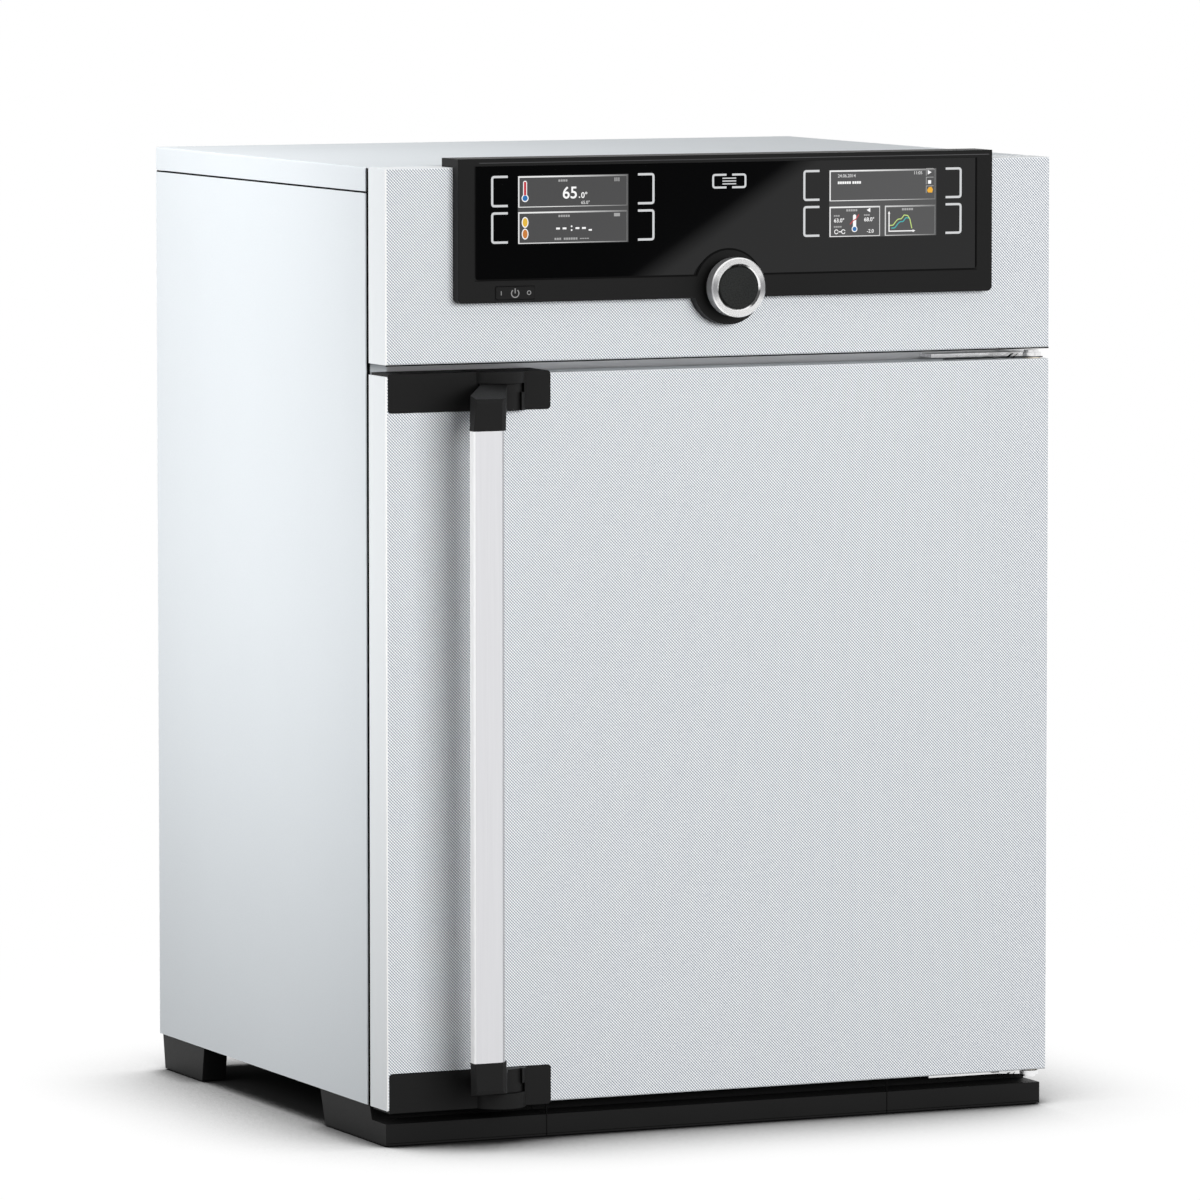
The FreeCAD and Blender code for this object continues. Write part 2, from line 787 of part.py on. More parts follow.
def transformer():
    """An iron core with its winding."""
    body = new_body("transformer", s.board_side, s.board_setback + casing_front,
                    deck_level + s.sheet)
    half_x, half_y = s.transformer_width / 2, s.transformer_depth / 2
    pad(body, "XY", 0, s.transformer_height,
        rectangle(-half_x, half_x, -half_y / 2, half_y / 2))
    pad(body, "XY", s.winding_margin, s.transformer_height - s.winding_margin,
        rectangle(-half_x + s.winding_margin, half_x - s.winding_margin, -half_y, half_y))
    soften(body, "Fillet", s.winding_margin / 2, lambda a, b: close(abs(a.y), half_y.value)
           and close(abs(b.y), half_y.value) and close(a.x, b.x) and close(a.y, b.y))


def control_panel_shell():
    """The folded housing above the door, standing off the casing on a recessed neck."""
    body = new_body("control_panel_shell", zero, door_front, panel_floor)
    height = casing_top - panel_floor
    depth = s.door_depth

    def inset(margin):
        return rectangle(-half_width + margin, half_width - margin, margin, height - margin)

    pad(body, "XZ", 0, s.sheet, inset(zero))
    pad(body, "XZ", 0, depth, inset(zero), inset(s.sheet))
    soften(body, "Fillet", s.bend_radius, lambda a, b: close(a.y, 0) and close(b.y, 0))
    pad(body, "XZ", depth - s.sheet, depth, inset(s.sheet / 2), inset(s.panel_return))
    pad(body, "XZ", depth, depth + s.door_gap, inset(s.panel_neck),
        inset(s.panel_neck + s.panel_neck_wall))
    window = s.cockpit_width / 2 - s.panel_window_margin
    knob = knob_z - panel_floor
    pocket(body, "XZ", 0, s.sheet,
           rectangle(-window, window, knob, height - s.panel_window_margin))
    pocket(body, "XZ", 0, s.sheet, Round(0, knob, s.encoder_radius + s.fit_gap))


def cockpit_frame():
    """The black moulded bezel: a frame for the glass, wrapped over the panel's top, with a
    round lobe and a hollow post that carry the control ring."""
    floor = casing_top - s.cockpit_drop
    body = new_body("cockpit_frame", zero, cockpit_front, floor)
    half = s.cockpit_width / 2
    top = s.cockpit_drop + s.cockpit_rise
    knob = knob_z - floor
    depth = s.cockpit_proud
    pad(body, "XZ", 0, depth, rectangle(-half, half, 0, top))
    pad(body, "XZ", depth, depth + s.cockpit_wrap, rectangle(-half, half, s.cockpit_drop, top))
    soften(body, "Fillet", s.cockpit_corner, lambda a, b: close(abs(a.x), half.value)
           and close(a.x, b.x) and close(a.z, 0) and close(b.z, 0))
    bezel = half - s.glass_side_margin
    pocket(body, "XZ", 0, glass_seat, rectangle(
        -bezel, bezel, s.glass_bottom_margin, top - s.glass_top_margin))
    pad(body, "XZ", 0, depth, Round(0, knob, s.lobe_radius))
    ledge = bezel - s.cockpit_wall
    pocket(body, "XZ", glass_seat, depth, rectangle(
        -ledge, ledge, knob + s.lobe_radius + s.cockpit_wall,
        top - s.glass_top_margin - s.cockpit_wall))
    pad(body, "XZ", s.fit_gap - s.ring_standoff, 0, Round(0, knob, s.ring_neck_radius))
    pad(body, "XZ", -s.ring_standoff - s.post_length, 0, Round(0, knob, s.post_radius))
    pocket(body, "XZ", -s.ring_standoff - s.post_length, depth,
           Round(0, knob, s.post_radius - s.post_wall))
    half_x = s.switch_width / 2 + s.fit_gap
    half_z = s.switch_height / 2 + s.fit_gap
    level = casing_top - s.switch_drop - floor
    pocket(body, "XZ", 0, s.switch_depth - s.switch_proud + s.switch_travel + s.fit_gap,
           rectangle(-s.switch_side - half_x, -s.switch_side + half_x,
                     level - half_z, level + half_z))
    soften(body, "Fillet", s.bezel_edge, lambda a, b: close(a.y, 0) and close(b.y, 0)
           and (close(abs(a.x), half.value) and close(a.x, b.x)))


def cockpit_glass():
    """The dark glass over both displays, cut out round the lobe."""
    floor = casing_top - s.cockpit_drop
    body = new_body("cockpit_glass", zero, cockpit_front + s.glass_sink, floor)
    half = s.cockpit_width / 2 - s.glass_side_margin - s.glass_fit
    top = s.cockpit_drop + s.cockpit_rise - s.glass_top_margin - s.glass_fit
    bottom = s.glass_bottom_margin + s.glass_fit
    pad(body, "XZ", 0, s.glass_sheet, rectangle(-half, half, bottom, top))
    pocket(body, "XZ", 0, s.glass_sheet, Round(0, knob_z - floor, s.lobe_radius + s.glass_fit))
    soften(body, "Fillet", s.cockpit_corner, lambda a, b: close(abs(a.x), half.value)
           and close(a.x, b.x) and close(a.z, bottom.value) and close(b.z, bottom.value))


def display_modules():
    """The two screens behind the glass."""
    front = cockpit_front + glass_seat
    half_x, half_z = s.display_width / 2, s.display_height / 2
    level = casing_top - s.display_drop
    group("display_modules", [
        block("Display", middle - half_x, middle + half_x, front, front + s.display_depth,
              level - half_z, level + half_z)
        for middle in (-s.display_side, s.display_side)])


def control_board():
    """The circuit board that carries the displays."""
    front = cockpit_front + glass_seat + s.display_depth
    body = new_body("control_board", zero, front, knob_z + s.lobe_radius + s.cockpit_wall)
    margin = s.fit_gap * 2
    half = s.cockpit_width / 2 - s.glass_side_margin - s.cockpit_wall - margin
    top = casing_top + s.cockpit_rise - s.glass_top_margin - s.cockpit_wall - margin
    rise = top - knob_z - s.lobe_radius - s.cockpit_wall
    pad(body, "XZ", 0, s.board_sheet, rectangle(-half, half, margin, rise))


def encoder():
    """The rotary and push encoder behind the control ring."""
    body = new_body("encoder", zero, door_front, knob_z)
    pad(body, "XZ", 0, s.encoder_depth, Round(0, 0, s.encoder_radius))
    plunger = s.post_radius - s.post_wall - s.fit_gap * 2
    front = stem_end + s.button_travel + s.fit_gap - door_front
    pad(body, "XZ", front, 0, Round(0, 0, plunger))


def turn_ring():
    """The metal ring, turned with a stepped bore that runs on the bezel's post."""
    back = cockpit_front - s.ring_standoff
    body = new_body("turn_ring", zero, back, knob_z)
    bore = s.post_radius + s.running_gap
    cup = s.button_radius + s.fit_gap
    outer = s.ring_radius
    front = -s.ring_depth
    edge = s.ring_edge
    revolve(body, "YZ", "H_Axis", [
        (0, bore), (0, outer - edge), (-edge, outer), (front + edge, outer),
        (front, outer - edge), (front, cup + edge), (front + edge, cup),
        (-s.ring_web, cup), (-s.ring_web, bore)])


def confirm_button():
    """The black centre disc with a stem that slides in the bezel's post."""
    back = cockpit_front - s.ring_standoff
    body = new_body("confirm_button", zero, back, knob_z)
    front = s.button_sink - s.ring_depth
    stem = s.post_radius - s.post_wall - s.running_gap
    rim = s.button_radius
    revolve(body, "YZ", "H_Axis", [
        (front + s.button_dish, 0), (front, rim - s.ring_edge), (front + s.ring_edge, rim),
        (front + s.button_depth, rim), (front + s.button_depth, stem),
        (stem_end - back, stem), (stem_end - back, 0)])


def main_switch_button():
    body = new_body("main_switch_button", -s.switch_side, cockpit_front - s.switch_proud,
                    casing_top - s.switch_drop)
    half_x, half_z = s.switch_width / 2, s.switch_height / 2
    pad(body, "XZ", 0, s.switch_depth, rectangle(-half_x, half_x, -half_z, half_z))
    soften(body, "Fillet", s.bezel_edge, lambda a, b: close(a.x, b.x) and close(a.z, b.z))


def door_outer_panel():
    """The door's folded front shell, notched at its left corners for the latch housings."""
    body = new_body("door_outer_panel", -half_width, door_front, door_floor)
    width, height, depth = casing_width, door_height, s.door_depth
    wall = s.sheet
    pad(body, "XZ", 0, wall, rectangle(0, width, 0, height))
    pad(body, "XZ", 0, depth, rectangle(0, width, 0, height),
        rectangle(wall, width - wall, wall, height - wall))
    soften(body, "Fillet", s.bend_radius, lambda a, b: close(a.y, 0) and close(b.y, 0))
    left = s.latch_inset - s.fit_gap
    right = s.latch_inset + s.latch_width + s.fit_gap
    pocket(body, "XZ", 0, depth, rectangle(
        left, right, height - s.upper_latch_drop - s.fit_gap, height))
    pocket(body, "XZ", 0, depth, rectangle(left, right, 0, s.lower_latch_rise + s.fit_gap))
    pocket(body, "XY", 0, height, Round(width - s.pin_from_edge, s.pin_behind_front,
                                        bush_radius + s.fit_gap))


def door_inner_panel():
    """The stainless inner sheet with its raised field and the slots for the latch hooks."""
    back = s.door_depth
    body = new_body("door_inner_panel", -half_width, door_front, door_floor)
    wall = s.sheet
    edge = wall + s.fit_gap
    width, height = casing_width, door_height
    pad(body, "XZ", back - wall, back, rectangle(edge, width - edge, edge, height - edge))
    inset = s.side_space - s.gasket_offset + s.door_field_margin
    inset_z = s.end_space - s.gasket_offset + s.door_field_margin
    rise = s.door_field_rise
    pad(body, "XZ", back, back + rise,
        rectangle(inset, width - inset, inset_z, height - inset_z))
    soften(body, "Chamfer", rise - s.fit_gap, lambda a, b: close(a.y, (back + rise).value)
           and close(b.y, (back + rise).value))
    pocket(body, "XZ", back - wall, back - wall + rise, rectangle(
        inset + rise, width - inset - rise, inset_z + rise, height - inset_z - rise))
    hub = s.hub_from_edge
    for level in (upper_hook_z, lower_hook_z):
        pocket(body, "XZ", back - wall, back, rectangle(
            hub - strike_left, hub + strike_right,
            level - door_floor - strike_half, level - door_floor + strike_half))


def door_insulation():
    """The wool in the door, cut back at the latch housings and the hinge plates."""
    wall = s.sheet + s.fit_gap
    body = new_body("door_insulation", -half_width, door_front, door_floor)
    right = s.latch_inset + s.latch_width + s.fit_gap
    width, height = casing_width, door_height
    hinge = width - s.sheet - s.fit_gap * 2 - s.door_plate_length
    plate = s.sheet + s.door_plate_sheet + s.fit_gap
    upper_cut = height - s.upper_latch_drop - s.fit_gap
    lower_cut = s.lower_latch_rise + s.fit_gap
    pad(body, "XZ", wall, s.door_depth - wall, [
        (wall, lower_cut), (right, lower_cut), (right, wall), (hinge, wall), (hinge, plate),
        (width - wall, plate), (width - wall, height - plate), (hinge, height - plate),
        (hinge, height - wall), (right, height - wall), (right, upper_cut), (wall, upper_cut)])
    pocket(body, "XY", 0, height, Round(width - s.pin_from_edge, s.pin_behind_front,
                                        bush_radius + s.fit_gap))


def door_gasket():
    """The silicone seal, a frame that lies against the casing round the chamber's mouth."""
    body = new_body("door_gasket", zero, door_back, (chamber_floor + chamber_roof) / 2)
    half_x = chamber_half + s.gasket_offset
    half_z = s.chamber_height / 2 + s.gasket_offset
    width = s.gasket_width
    pad(body, "XZ", 0, s.door_gap - s.fit_gap,
        rectangle(-half_x - width, half_x + width, -half_z - width, half_z + width),
        rectangle(-half_x, half_x, -half_z, half_z))


def latch_housing(label, level, reach, cap, up):
    """A moulded block in a door corner. It holds the handle's hub in an open round pocket
    under a cap, with a shoulder beside the hub; up is 1 for the upper corner."""
    body = new_body(label, -half_width + s.latch_inset, door_front, level)
    width = s.latch_width
    back = s.door_depth - s.sheet - s.fit_gap
    hub = s.hub_from_edge - s.latch_inset
    axis = s.hub_behind_front
    seam = reach - cap
    front = -s.latch_proud
    cavity = s.hub_radius + s.fit_gap
    pad(body, "XY", 0, reach * up, rectangle(0, width, front, back))
    soften(body, "Fillet", s.latch_corner, lambda a, b: close(a.x, b.x) and close(a.z, b.z)
           and (close(a.z, 0) or close(a.x, width.value)))
    pad(body, "XY", 0, reach * up, Round(hub, axis, s.shoulder_radius))
    pocket(body, "XY", 0, seam * up, Round(hub, axis, cavity))
    shoulder = hub + s.shoulder_from_hub
    pocket(body, "XY", 0, seam * up, rectangle(
        hub - s.shoulder_radius - s.fit_gap, shoulder, axis - s.shoulder_radius - s.fit_gap, front))
    pocket(body, "XY", (seam - s.notch_height) * up, seam * up, rectangle(
        hub, shoulder + s.notch_width, axis - s.shoulder_radius - s.fit_gap, front))
    middle = seam / 2
    pocket(body, "XY", (middle - strike_half) * up, (middle + strike_half) * up, rectangle(
        hub - strike_left, hub + strike_right, axis, back))
    pocket(body, "XY", seam * up, (seam + s.pivot_grip) * up,
           Round(hub, axis, s.pivot_radius + s.running_gap))


def handle_arm(label, level, seam, bar_level, up):
    """A hub on the latch pivot with a sloping arm that ends in a tapered cap over the bar."""
    body = new_body(label, hub_x, hub_y, level)
    top = seam - s.fit_gap
    left = s.bar_from_edge - s.hub_from_edge
    right = left + s.bar_width
    front = -s.handle_reach - s.hub_behind_front
    back = front + s.bar_depth
    plate = -s.hub_behind_front - s.latch_proud - s.arm_clearance
    hub = s.hub_radius
    pad(body, "XY", bar_level * up, top * up, [
        (left, front), (right, front), (0, -hub), (0, 0), (-hub + s.fit_gap * 3, plate),
        (-s.arm_root, -hub), (left, back)])
    beyond = s.fit_gap
    tip = bar_level + s.arm_tip
    brow = tip - s.arm_brow
    pocket(body, "YZ", left - beyond, beyond, [
        (front - beyond, brow * up), (front, brow * up), (front + s.arm_brow_depth, tip * up),
        (-hub, top * up), (-hub, (top + beyond) * up), (front - beyond, (top + beyond) * up)])
    pocket(body, "XZ", front - beyond, -hub, [
        (left - beyond, bar_level * up), (left, bar_level * up), (left + s.arm_taper, tip * up),
        (left + s.arm_taper, (top + beyond) * up), (left - beyond, (top + beyond) * up)])
    pocket(body, "YZ", left - beyond, beyond, [
        (back, (bar_level - beyond) * up), (beyond, (bar_level - beyond) * up), (beyond, 0),
        (back + s.arm_gusset, 0), (back, -s.arm_gusset / 2 * up)])
    pad(body, "XY", 0, top * up, Round(0, 0, hub))
    pocket(body, "XY", 0, top * up, Round(0, 0, s.pivot_radius + s.running_gap))
    middle = seam / 2
    hook = s.hook_height / 2
    pocket(body, "XY", (middle - hook) * up, (middle + hook) * up, rectangle(
        -s.hook_width / 2, s.hook_width / 2, s.hook_root, hub))
    soften(body, "Chamfer", s.bar_bevel, lambda a, b: close(a.y, front.value)
           and close(b.y, front.value) and close(a.x, right.value) and close(b.x, right.value))
    soften(body, "Fillet", s.bezel_edge, lambda a, b: close(a.y, front.value)
           and close(b.y, front.value) and not close(a.z, b.z)
           and min(a.x, b.x) < (left + s.arm_taper).value)


def handle_bar():
    """The straight bar: an extrusion with a bevelled right edge."""
    body = new_body("handle_bar", s.bar_from_edge - half_width, door_front - s.handle_reach,
                    bar_bottom)
    width, depth, bevel = s.bar_width, s.bar_depth, s.bar_bevel
    edge = s.bezel_edge
    pad(body, "XY", 0, bar_top - bar_bottom, [
        (edge, 0), (width - bevel, 0), (width, bevel), (width, depth - edge),
        (width - edge, depth), (edge, depth), (0, depth - edge), (0, edge)])


def latch_hooks():
    """The two catches that reach from the hubs into the strikes."""
    half_x, half_z = s.hook_width / 2, s.hook_height / 2
    group("latch_hooks", [
        block("Hook", hub_x - half_x, hub_x + half_x, hub_y + s.hook_root,
              casing_front + s.hook_entry, level - half_z, level + half_z)
        for level in (upper_hook_z, lower_hook_z)])


def latch_pins():
    """The pivots of both hubs, held in the housings' caps."""
    length = s.pivot_grip - s.fit_gap
    upper_length = upper_seam - upper_latch_floor - s.fit_gap + length
    lower_length = lower_latch_top - lower_seam - s.fit_gap + length
    group("latch_pins", [
        rod("Pivot", "Z", hub_x, hub_y, upper_latch_floor + s.fit_gap, s.pivot_radius,
            upper_length),
        rod("Pivot", "Z", hub_x, hub_y, lower_seam - length, s.pivot_radius, lower_length)])


def strike(label, level):
    """An open cup in the casing's front that takes a hook, with a rim round its mouth."""
    body = new_body(label, hub_x, casing_front, level)
    wall, rim = s.strike_sheet, s.strike_rim

    def grown(margin):
        return rectangle(-strike_left - margin, strike_right + margin,
                         -strike_half - margin, strike_half + margin)

    pad(body, "XZ", -wall, 0, grown(rim), grown(zero))
    pad(body, "XZ", -wall / 2, s.strike_depth, grown(wall), grown(zero))
    pad(body, "XZ", s.strike_depth - wall, s.strike_depth, grown(wall / 2))


def hinge_pins():
    """The headed pins on which the door turns."""
    pins = []
    for level, up in ((door_top, 1), (door_floor, -1)):
        head_floor = level + (s.hinge_gap + s.hinge_sheet) * up
        length = s.hinge_gap + s.hinge_sheet + s.pin_length
        if up > 0:
            shank = rod("Shank", "Z", hinge_x, hinge_y, head_floor - length, s.pin_radius, length)
            head = rod("Head", "Z", hinge_x, hinge_y, head_floor, s.pin_head_radius, s.screw_head)
        else:
            shank = rod("Shank", "Z", hinge_x, hinge_y, head_floor, s.pin_radius, length)
            head = rod("Head", "Z", hinge_x, hinge_y, head_floor - s.screw_head,
                       s.pin_head_radius, s.screw_head)
        pin = doc.addObject("Part::Fuse", "HingePin")
        pin.Base = shank
        pin.Tool = head
        pins.append(pin)
    group("hinge_pins", pins)


def hinge_bushes():
    """Flanged bearing bushes in the door's top and bottom for the hinge pins."""
    bushes = []
    length = s.sheet + s.door_plate_sheet
    for level, up in ((door_top, 1), (door_floor, -1)):
        sleeve_floor = level - length if up > 0 else level
        flange_floor = level if up > 0 else level - s.bush_flange
        sleeve = rod("Sleeve", "Z", hinge_x, hinge_y, sleeve_floor, bush_radius, length)
        flange = rod("Flange", "Z", hinge_x, hinge_y, flange_floor,
                     bush_radius + s.bush_flange_reach, s.bush_flange)
        both = doc.addObject("Part::Fuse", "Flanged")
        both.Base = sleeve
        both.Tool = flange
        bore_floor = lower(sleeve_floor, flange_floor)
        bore = rod("Bore", "Z", hinge_x, hinge_y, bore_floor, s.pin_radius + s.running_gap,
                   length + s.bush_flange)
        bush = doc.addObject("Part::Cut", "Bush")
        bush.Base = both
        bush.Tool = bore
        bushes.append(bush)
    group("hinge_bushes", bushes)


def door_hinge_plates():
    """The stiff plates inside the door's right corners that hold the bushes."""
    plates = []
    right = half_width - s.sheet - s.fit_gap
    front = door_front + s.sheet + s.fit_gap
    back = door_back - s.sheet - s.fit_gap
    for floor in (door_top - s.sheet - s.door_plate_sheet, door_floor + s.sheet):
        slab = block("Slab", right - s.door_plate_length, right, front, back,
                     floor, floor + s.door_plate_sheet)
        bore = rod("Bore", "Z", hinge_x, hinge_y, floor, bush_radius + s.running_gap,
                   s.door_plate_sheet)
        plate = doc.addObject("Part::Cut", "HingePlate")
        plate.Base = slab
        plate.Tool = bore
        plates.append(plate)
    group("door_hinge_plates", plates)


def arm_plate(body, back):
    """The flat of a hinge arm, from its back edge to the rounded end at the pin."""
    edge = s.hinge_front_edge - s.pin_behind_front
    radius = s.knuckle_radius
    pad(body, "XY", 0, s.hinge_sheet, [
        (-s.hinge_arm_length, edge), (-radius * 2 - edge, edge), (-radius, 0), (radius, 0),
        (radius, back), (-s.hinge_arm_length, back)])
    pad(body, "XY", 0, s.hinge_sheet, Round(0, 0, radius))
    pocket(body, "XY", 0, s.hinge_sheet, Round(0, 0, s.pin_radius + s.running_gap))


def upper_hinge_arm():
    """The arm over the door, with a flange that is fixed to the casing's front."""
    body = new_body("upper_hinge_arm", hinge_x, hinge_y, door_top + s.hinge_gap)
    back = casing_front - hinge_y
    arm_plate(body, back)
    pad(body, "XZ", back - s.hinge_sheet, back, rectangle(
        -s.hinge_arm_length, s.knuckle_radius, 0, s.hinge_flange))


def lower_hinge_arm():
    """The arm under the door, fixed with a spacer to the casing's underside."""
    body = new_body("lower_hinge_arm", hinge_x, hinge_y,
                    door_floor - s.hinge_gap - s.hinge_sheet)
    back = casing_front - hinge_y
    arm_plate(body, back + s.hinge_tail)
    pad(body, "XY", s.hinge_sheet, s.hinge_sheet + s.hinge_gap, rectangle(
        -s.hinge_arm_length, s.knuckle_radius, back, back + s.hinge_tail))


def front_profile(depth):
    """The side outline of the front feet, from the front face back to a given depth."""
    step = s.foot_front_setback + s.foot_shelf_depth
    rear = s.door_depth + s.door_gap
    shelf = s.foot_height - s.foot_front_drop
    return [(s.foot_front_setback, s.foot_pad_height), (depth, s.foot_pad_height),
            (depth, s.foot_height), (rear, s.foot_height), (step, shelf),
            (s.foot_front_setback, shelf)]


def front_foot(label, side):
    """A front corner foot: a wide toe under the door and an arm back under the casing."""
    body = new_body(label, (half_width - s.foot_side_inset) * side, door_front, zero)
    toe = s.front_toe_depth
    floor = s.foot_pad_height
    pad(body, "YZ", 0, s.front_foot_width * -side, front_profile(toe))
    pad(body, "YZ", 0, s.front_foot_arm * -side, [
        (toe, floor), (s.front_foot_base_depth, floor), (s.front_foot_top_depth, s.foot_height),
        (toe, s.foot_height)])
    wall = s.foot_wall
    pocket(body, "XY", floor, s.foot_height - wall, rectangle(
        wall * -side, (s.front_foot_arm - wall) * -side, toe, s.front_foot_base_depth - wall * 2))
    return body


def front_right_foot():
    """The right foot, notched at its top for the lower hinge arm."""
    body = front_foot("front_right_foot", 1)
    edge = s.foot_side_inset - s.pin_from_edge - s.hinge_arm_length - s.fit_gap
    floor = door_floor - s.hinge_gap - s.hinge_sheet - s.fit_gap
    tail = s.door_depth + s.door_gap + s.hinge_tail + s.fit_gap
    pocket(body, "XY", floor, s.foot_height,
           rectangle(edge, 0, s.foot_front_setback + s.foot_shelf_depth - s.fit_gap, tail))


def front_plinth():
    """The low strip that joins the front feet."""
    half = half_width - s.foot_side_inset - s.front_foot_width - s.fit_gap
    body = new_body("front_plinth", -half, door_front, zero)
    pad(body, "YZ", 0, half * 2, front_profile(s.front_toe_depth))


def rear_foot(label, side):
    """A tapered foot under a rear corner."""
    body = new_body(label, (half_width - s.foot_side_inset) * side, casing_back, zero)
    back = -s.rear_foot_setback
    taper = (s.rear_foot_top_depth - s.rear_foot_base_depth) / 2
    floor = s.foot_pad_height
    pad(body, "YZ", 0, s.rear_foot_width * -side, [
        (back - taper, floor), (back, s.foot_height),
        (back - s.rear_foot_top_depth, s.foot_height),
        (back - s.rear_foot_top_depth + taper, floor)])


def foot_pads():
    """The four rubber pads that stand on the bench."""
    pads = []
    front_y = door_front + s.foot_front_setback + s.foot_pad_inset
    rear_y = casing_back - s.rear_foot_setback - s.rear_foot_top_depth / 2
    for side in (-1, 1):
        x = (half_width - s.foot_side_inset - s.rear_foot_width / 2) * side
        for y in (front_y, rear_y):
            pads.append(rod("FootPad", "Z", x, y, zero, s.foot_pad_radius, s.foot_pad_height))
    group("foot_pads", pads)


def rear_socket(label, x, width, height, depth, flange):
    """A moulded socket with a flange on the connection plate and an open mouth."""
    body = new_body(label, x, casing_back, s.inlet_rise)
    half_x, half_z = width / 2, height / 2
    pad(body, "XZ", 0, s.inlet_lip, rectangle(
        -half_x - flange, half_x + flange, -half_z - flange, half_z + flange))
    pad(body, "XZ", s.inlet_lip - depth, s.inlet_lip, rectangle(-half_x, half_x, -half_z, half_z))
    wall = s.inlet_wall
    pocket(body, "XZ", s.inlet_lip - depth + wall, s.inlet_lip, rectangle(
        wall - half_x, half_x - wall, wall - half_z, half_z - wall))


def connection_plate():
    """The plate over the rear panel's window that carries the mains and network sockets."""
    body = new_body("connection_plate", zero, casing_back - s.sheet, s.inlet_rise)
    pad(body, "XZ", 0, s.sheet, plate_outline(zero, zero))
    for x, half_x, half_z in (
            (inlet_x, s.inlet_width / 2, s.inlet_height / 2),
            (socket_x, s.socket_width / 2, s.socket_height / 2)):
        pocket(body, "XZ", 0, s.sheet, rectangle(
            x - half_x - s.fit_gap, x + half_x + s.fit_gap,
            -half_z - s.fit_gap, half_z + s.fit_gap))


def rear_panel_screws():
    """The screws along the rear flanges of the side sheets."""
    screws = []
    rise = (side_top - casing_floor) / SCREW_COUNT
    for side in (-1, 1):
        for number in range(SCREW_COUNT):
            level = casing_floor + rise / 2 + rise * number
            screws.append(rod("Screw", "Y", (half_width - s.rear_flange / 2) * side, casing_back,
                              level, s.screw_radius, s.screw_head))
    group("rear_panel_screws", screws)


def wire_shelf(label, number):
    """A welded wire grid whose side rails lie on a pair of wall ribs."""
    rail, wire = s.frame_wire_radius, s.cross_wire_radius
    side = chamber_half - s.shelf_side_gap - rail
    slant = s.rib_slope / s.rib_depth
    seat = rib_level(number) + s.rib_height / 2 - slant * (s.shelf_side_gap + rail)
    level = seat + rail * root(slant * slant + 1) + s.running_gap
    front = frame_back + s.shelf_end_gap + rail
    back = chamber_back - s.shelf_end_gap - rail
    length = back - front
    pieces = [rod("Rail", "Y", side * end, front - rail, level, rail, length + rail * 2)
              for end in (-1, 1)]
    for step in range(SHELF_BRACES + 2):
        y = front + length / (SHELF_BRACES + 1) * step
        pieces.append(rod("Brace", "X", -side, y, level, rail - s.weld_sink, side * 2))
    top = level + rail + wire - s.weld_sink * 2
    pitch = side * 2 / (SHELF_WIRES + 1)
    for step in range(1, SHELF_WIRES + 1):
        pieces.append(rod("Wire", "Y", -side + pitch * step, front - wire, top, wire,
                          length + wire * 2))
    grid = doc.addObject("Part::MultiFuse", label)
    grid.Shapes = pieces
    named(label, grid)


def drip_tray():
    """The wax tray: a pan between the lowest ribs, hung on them by its rim."""
    slant = s.rib_slope / s.rib_depth
    seat = rib_level(TRAY_RIB) + s.rib_height / 2 - slant * s.shelf_side_gap + s.running_gap
    front = frame_back + s.shelf_end_gap
    length = s.chamber_depth - s.shelf_end_gap * 2
    body = new_body("drip_tray", zero, front, seat)
    rim = chamber_half - s.shelf_side_gap
    pan = chamber_half - s.rib_depth - s.shelf_side_gap
    wall = s.tray_sheet
    pad(body, "XY", 0, wall, rectangle(-rim, rim, 0, length))
    pad(body, "XY", -s.tray_height, wall, rectangle(-pan, pan, s.tray_rim, length - s.tray_rim))
    pocket(body, "XY", wall - s.tray_height, wall, rectangle(
        wall - pan, pan - wall, s.tray_rim + wall, length - s.tray_rim - wall))
    soften(body, "Fillet", s.tray_corner - wall, lambda a, b: close(a.x, b.x)
           and close(a.y, b.y) and close(abs(a.x), (pan - wall).value))
    soften(body, "Fillet", s.tray_corner, lambda a, b: close(a.x, b.x)
           and close(a.y, b.y) and close(abs(a.x), pan.value))


side_panel("left_side_panel", -1)
side_panel("right_side_panel", 1)
top_cover()
rear_panel()
base_plate()
front_frame()
chamber_wall("chamber_left_wall", -1)
chamber_wall("chamber_right_wall", 1)
chamber_plate("chamber_floor", chamber_floor, -1)
chamber_plate("chamber_roof", chamber_roof, 1)
chamber_back_wall()
chamber_insulation()
chamber_heaters()
temperature_sensors()
vent_tube()
vent_flap()
flap_motor()
electronics_tray()
power_board()
transformer()
control_panel_shell()
cockpit_frame()
cockpit_glass()
display_modules()
control_board()
encoder()
turn_ring()
confirm_button()
main_switch_button()
strike("upper_strike", upper_hook_z)
strike("lower_strike", lower_hook_z)
upper_hinge_arm()
lower_hinge_arm()
hinge_pins()
front_foot("front_left_foot", -1)
front_right_foot()
front_plinth()
rear_foot("rear_left_foot", -1)
rear_foot("rear_right_foot", 1)
foot_pads()
connection_plate()
rear_socket("power_inlet", inlet_x, s.inlet_width, s.inlet_height, s.inlet_depth, s.inlet_flange)
rear_socket("network_socket", socket_x, s.socket_width, s.socket_height, s.socket_depth,
            s.inlet_flange)
rear_panel_screws()
wire_shelf("upper_shelf", UPPER_RIB)
wire_shelf("lower_shelf", LOWER_RIB)
drip_tray()

door_outer_panel()
door_inner_panel()
door_insulation()
door_gasket()
latch_housing("upper_latch_housing", upper_latch_floor, upper_latch_top - upper_latch_floor,
              s.upper_cap, 1)
latch_housing("lower_latch_housing", lower_latch_top, lower_latch_top - lower_latch_floor,
              s.lower_cap, -1)
latch_pins()
door_hinge_plates()
hinge_bushes()

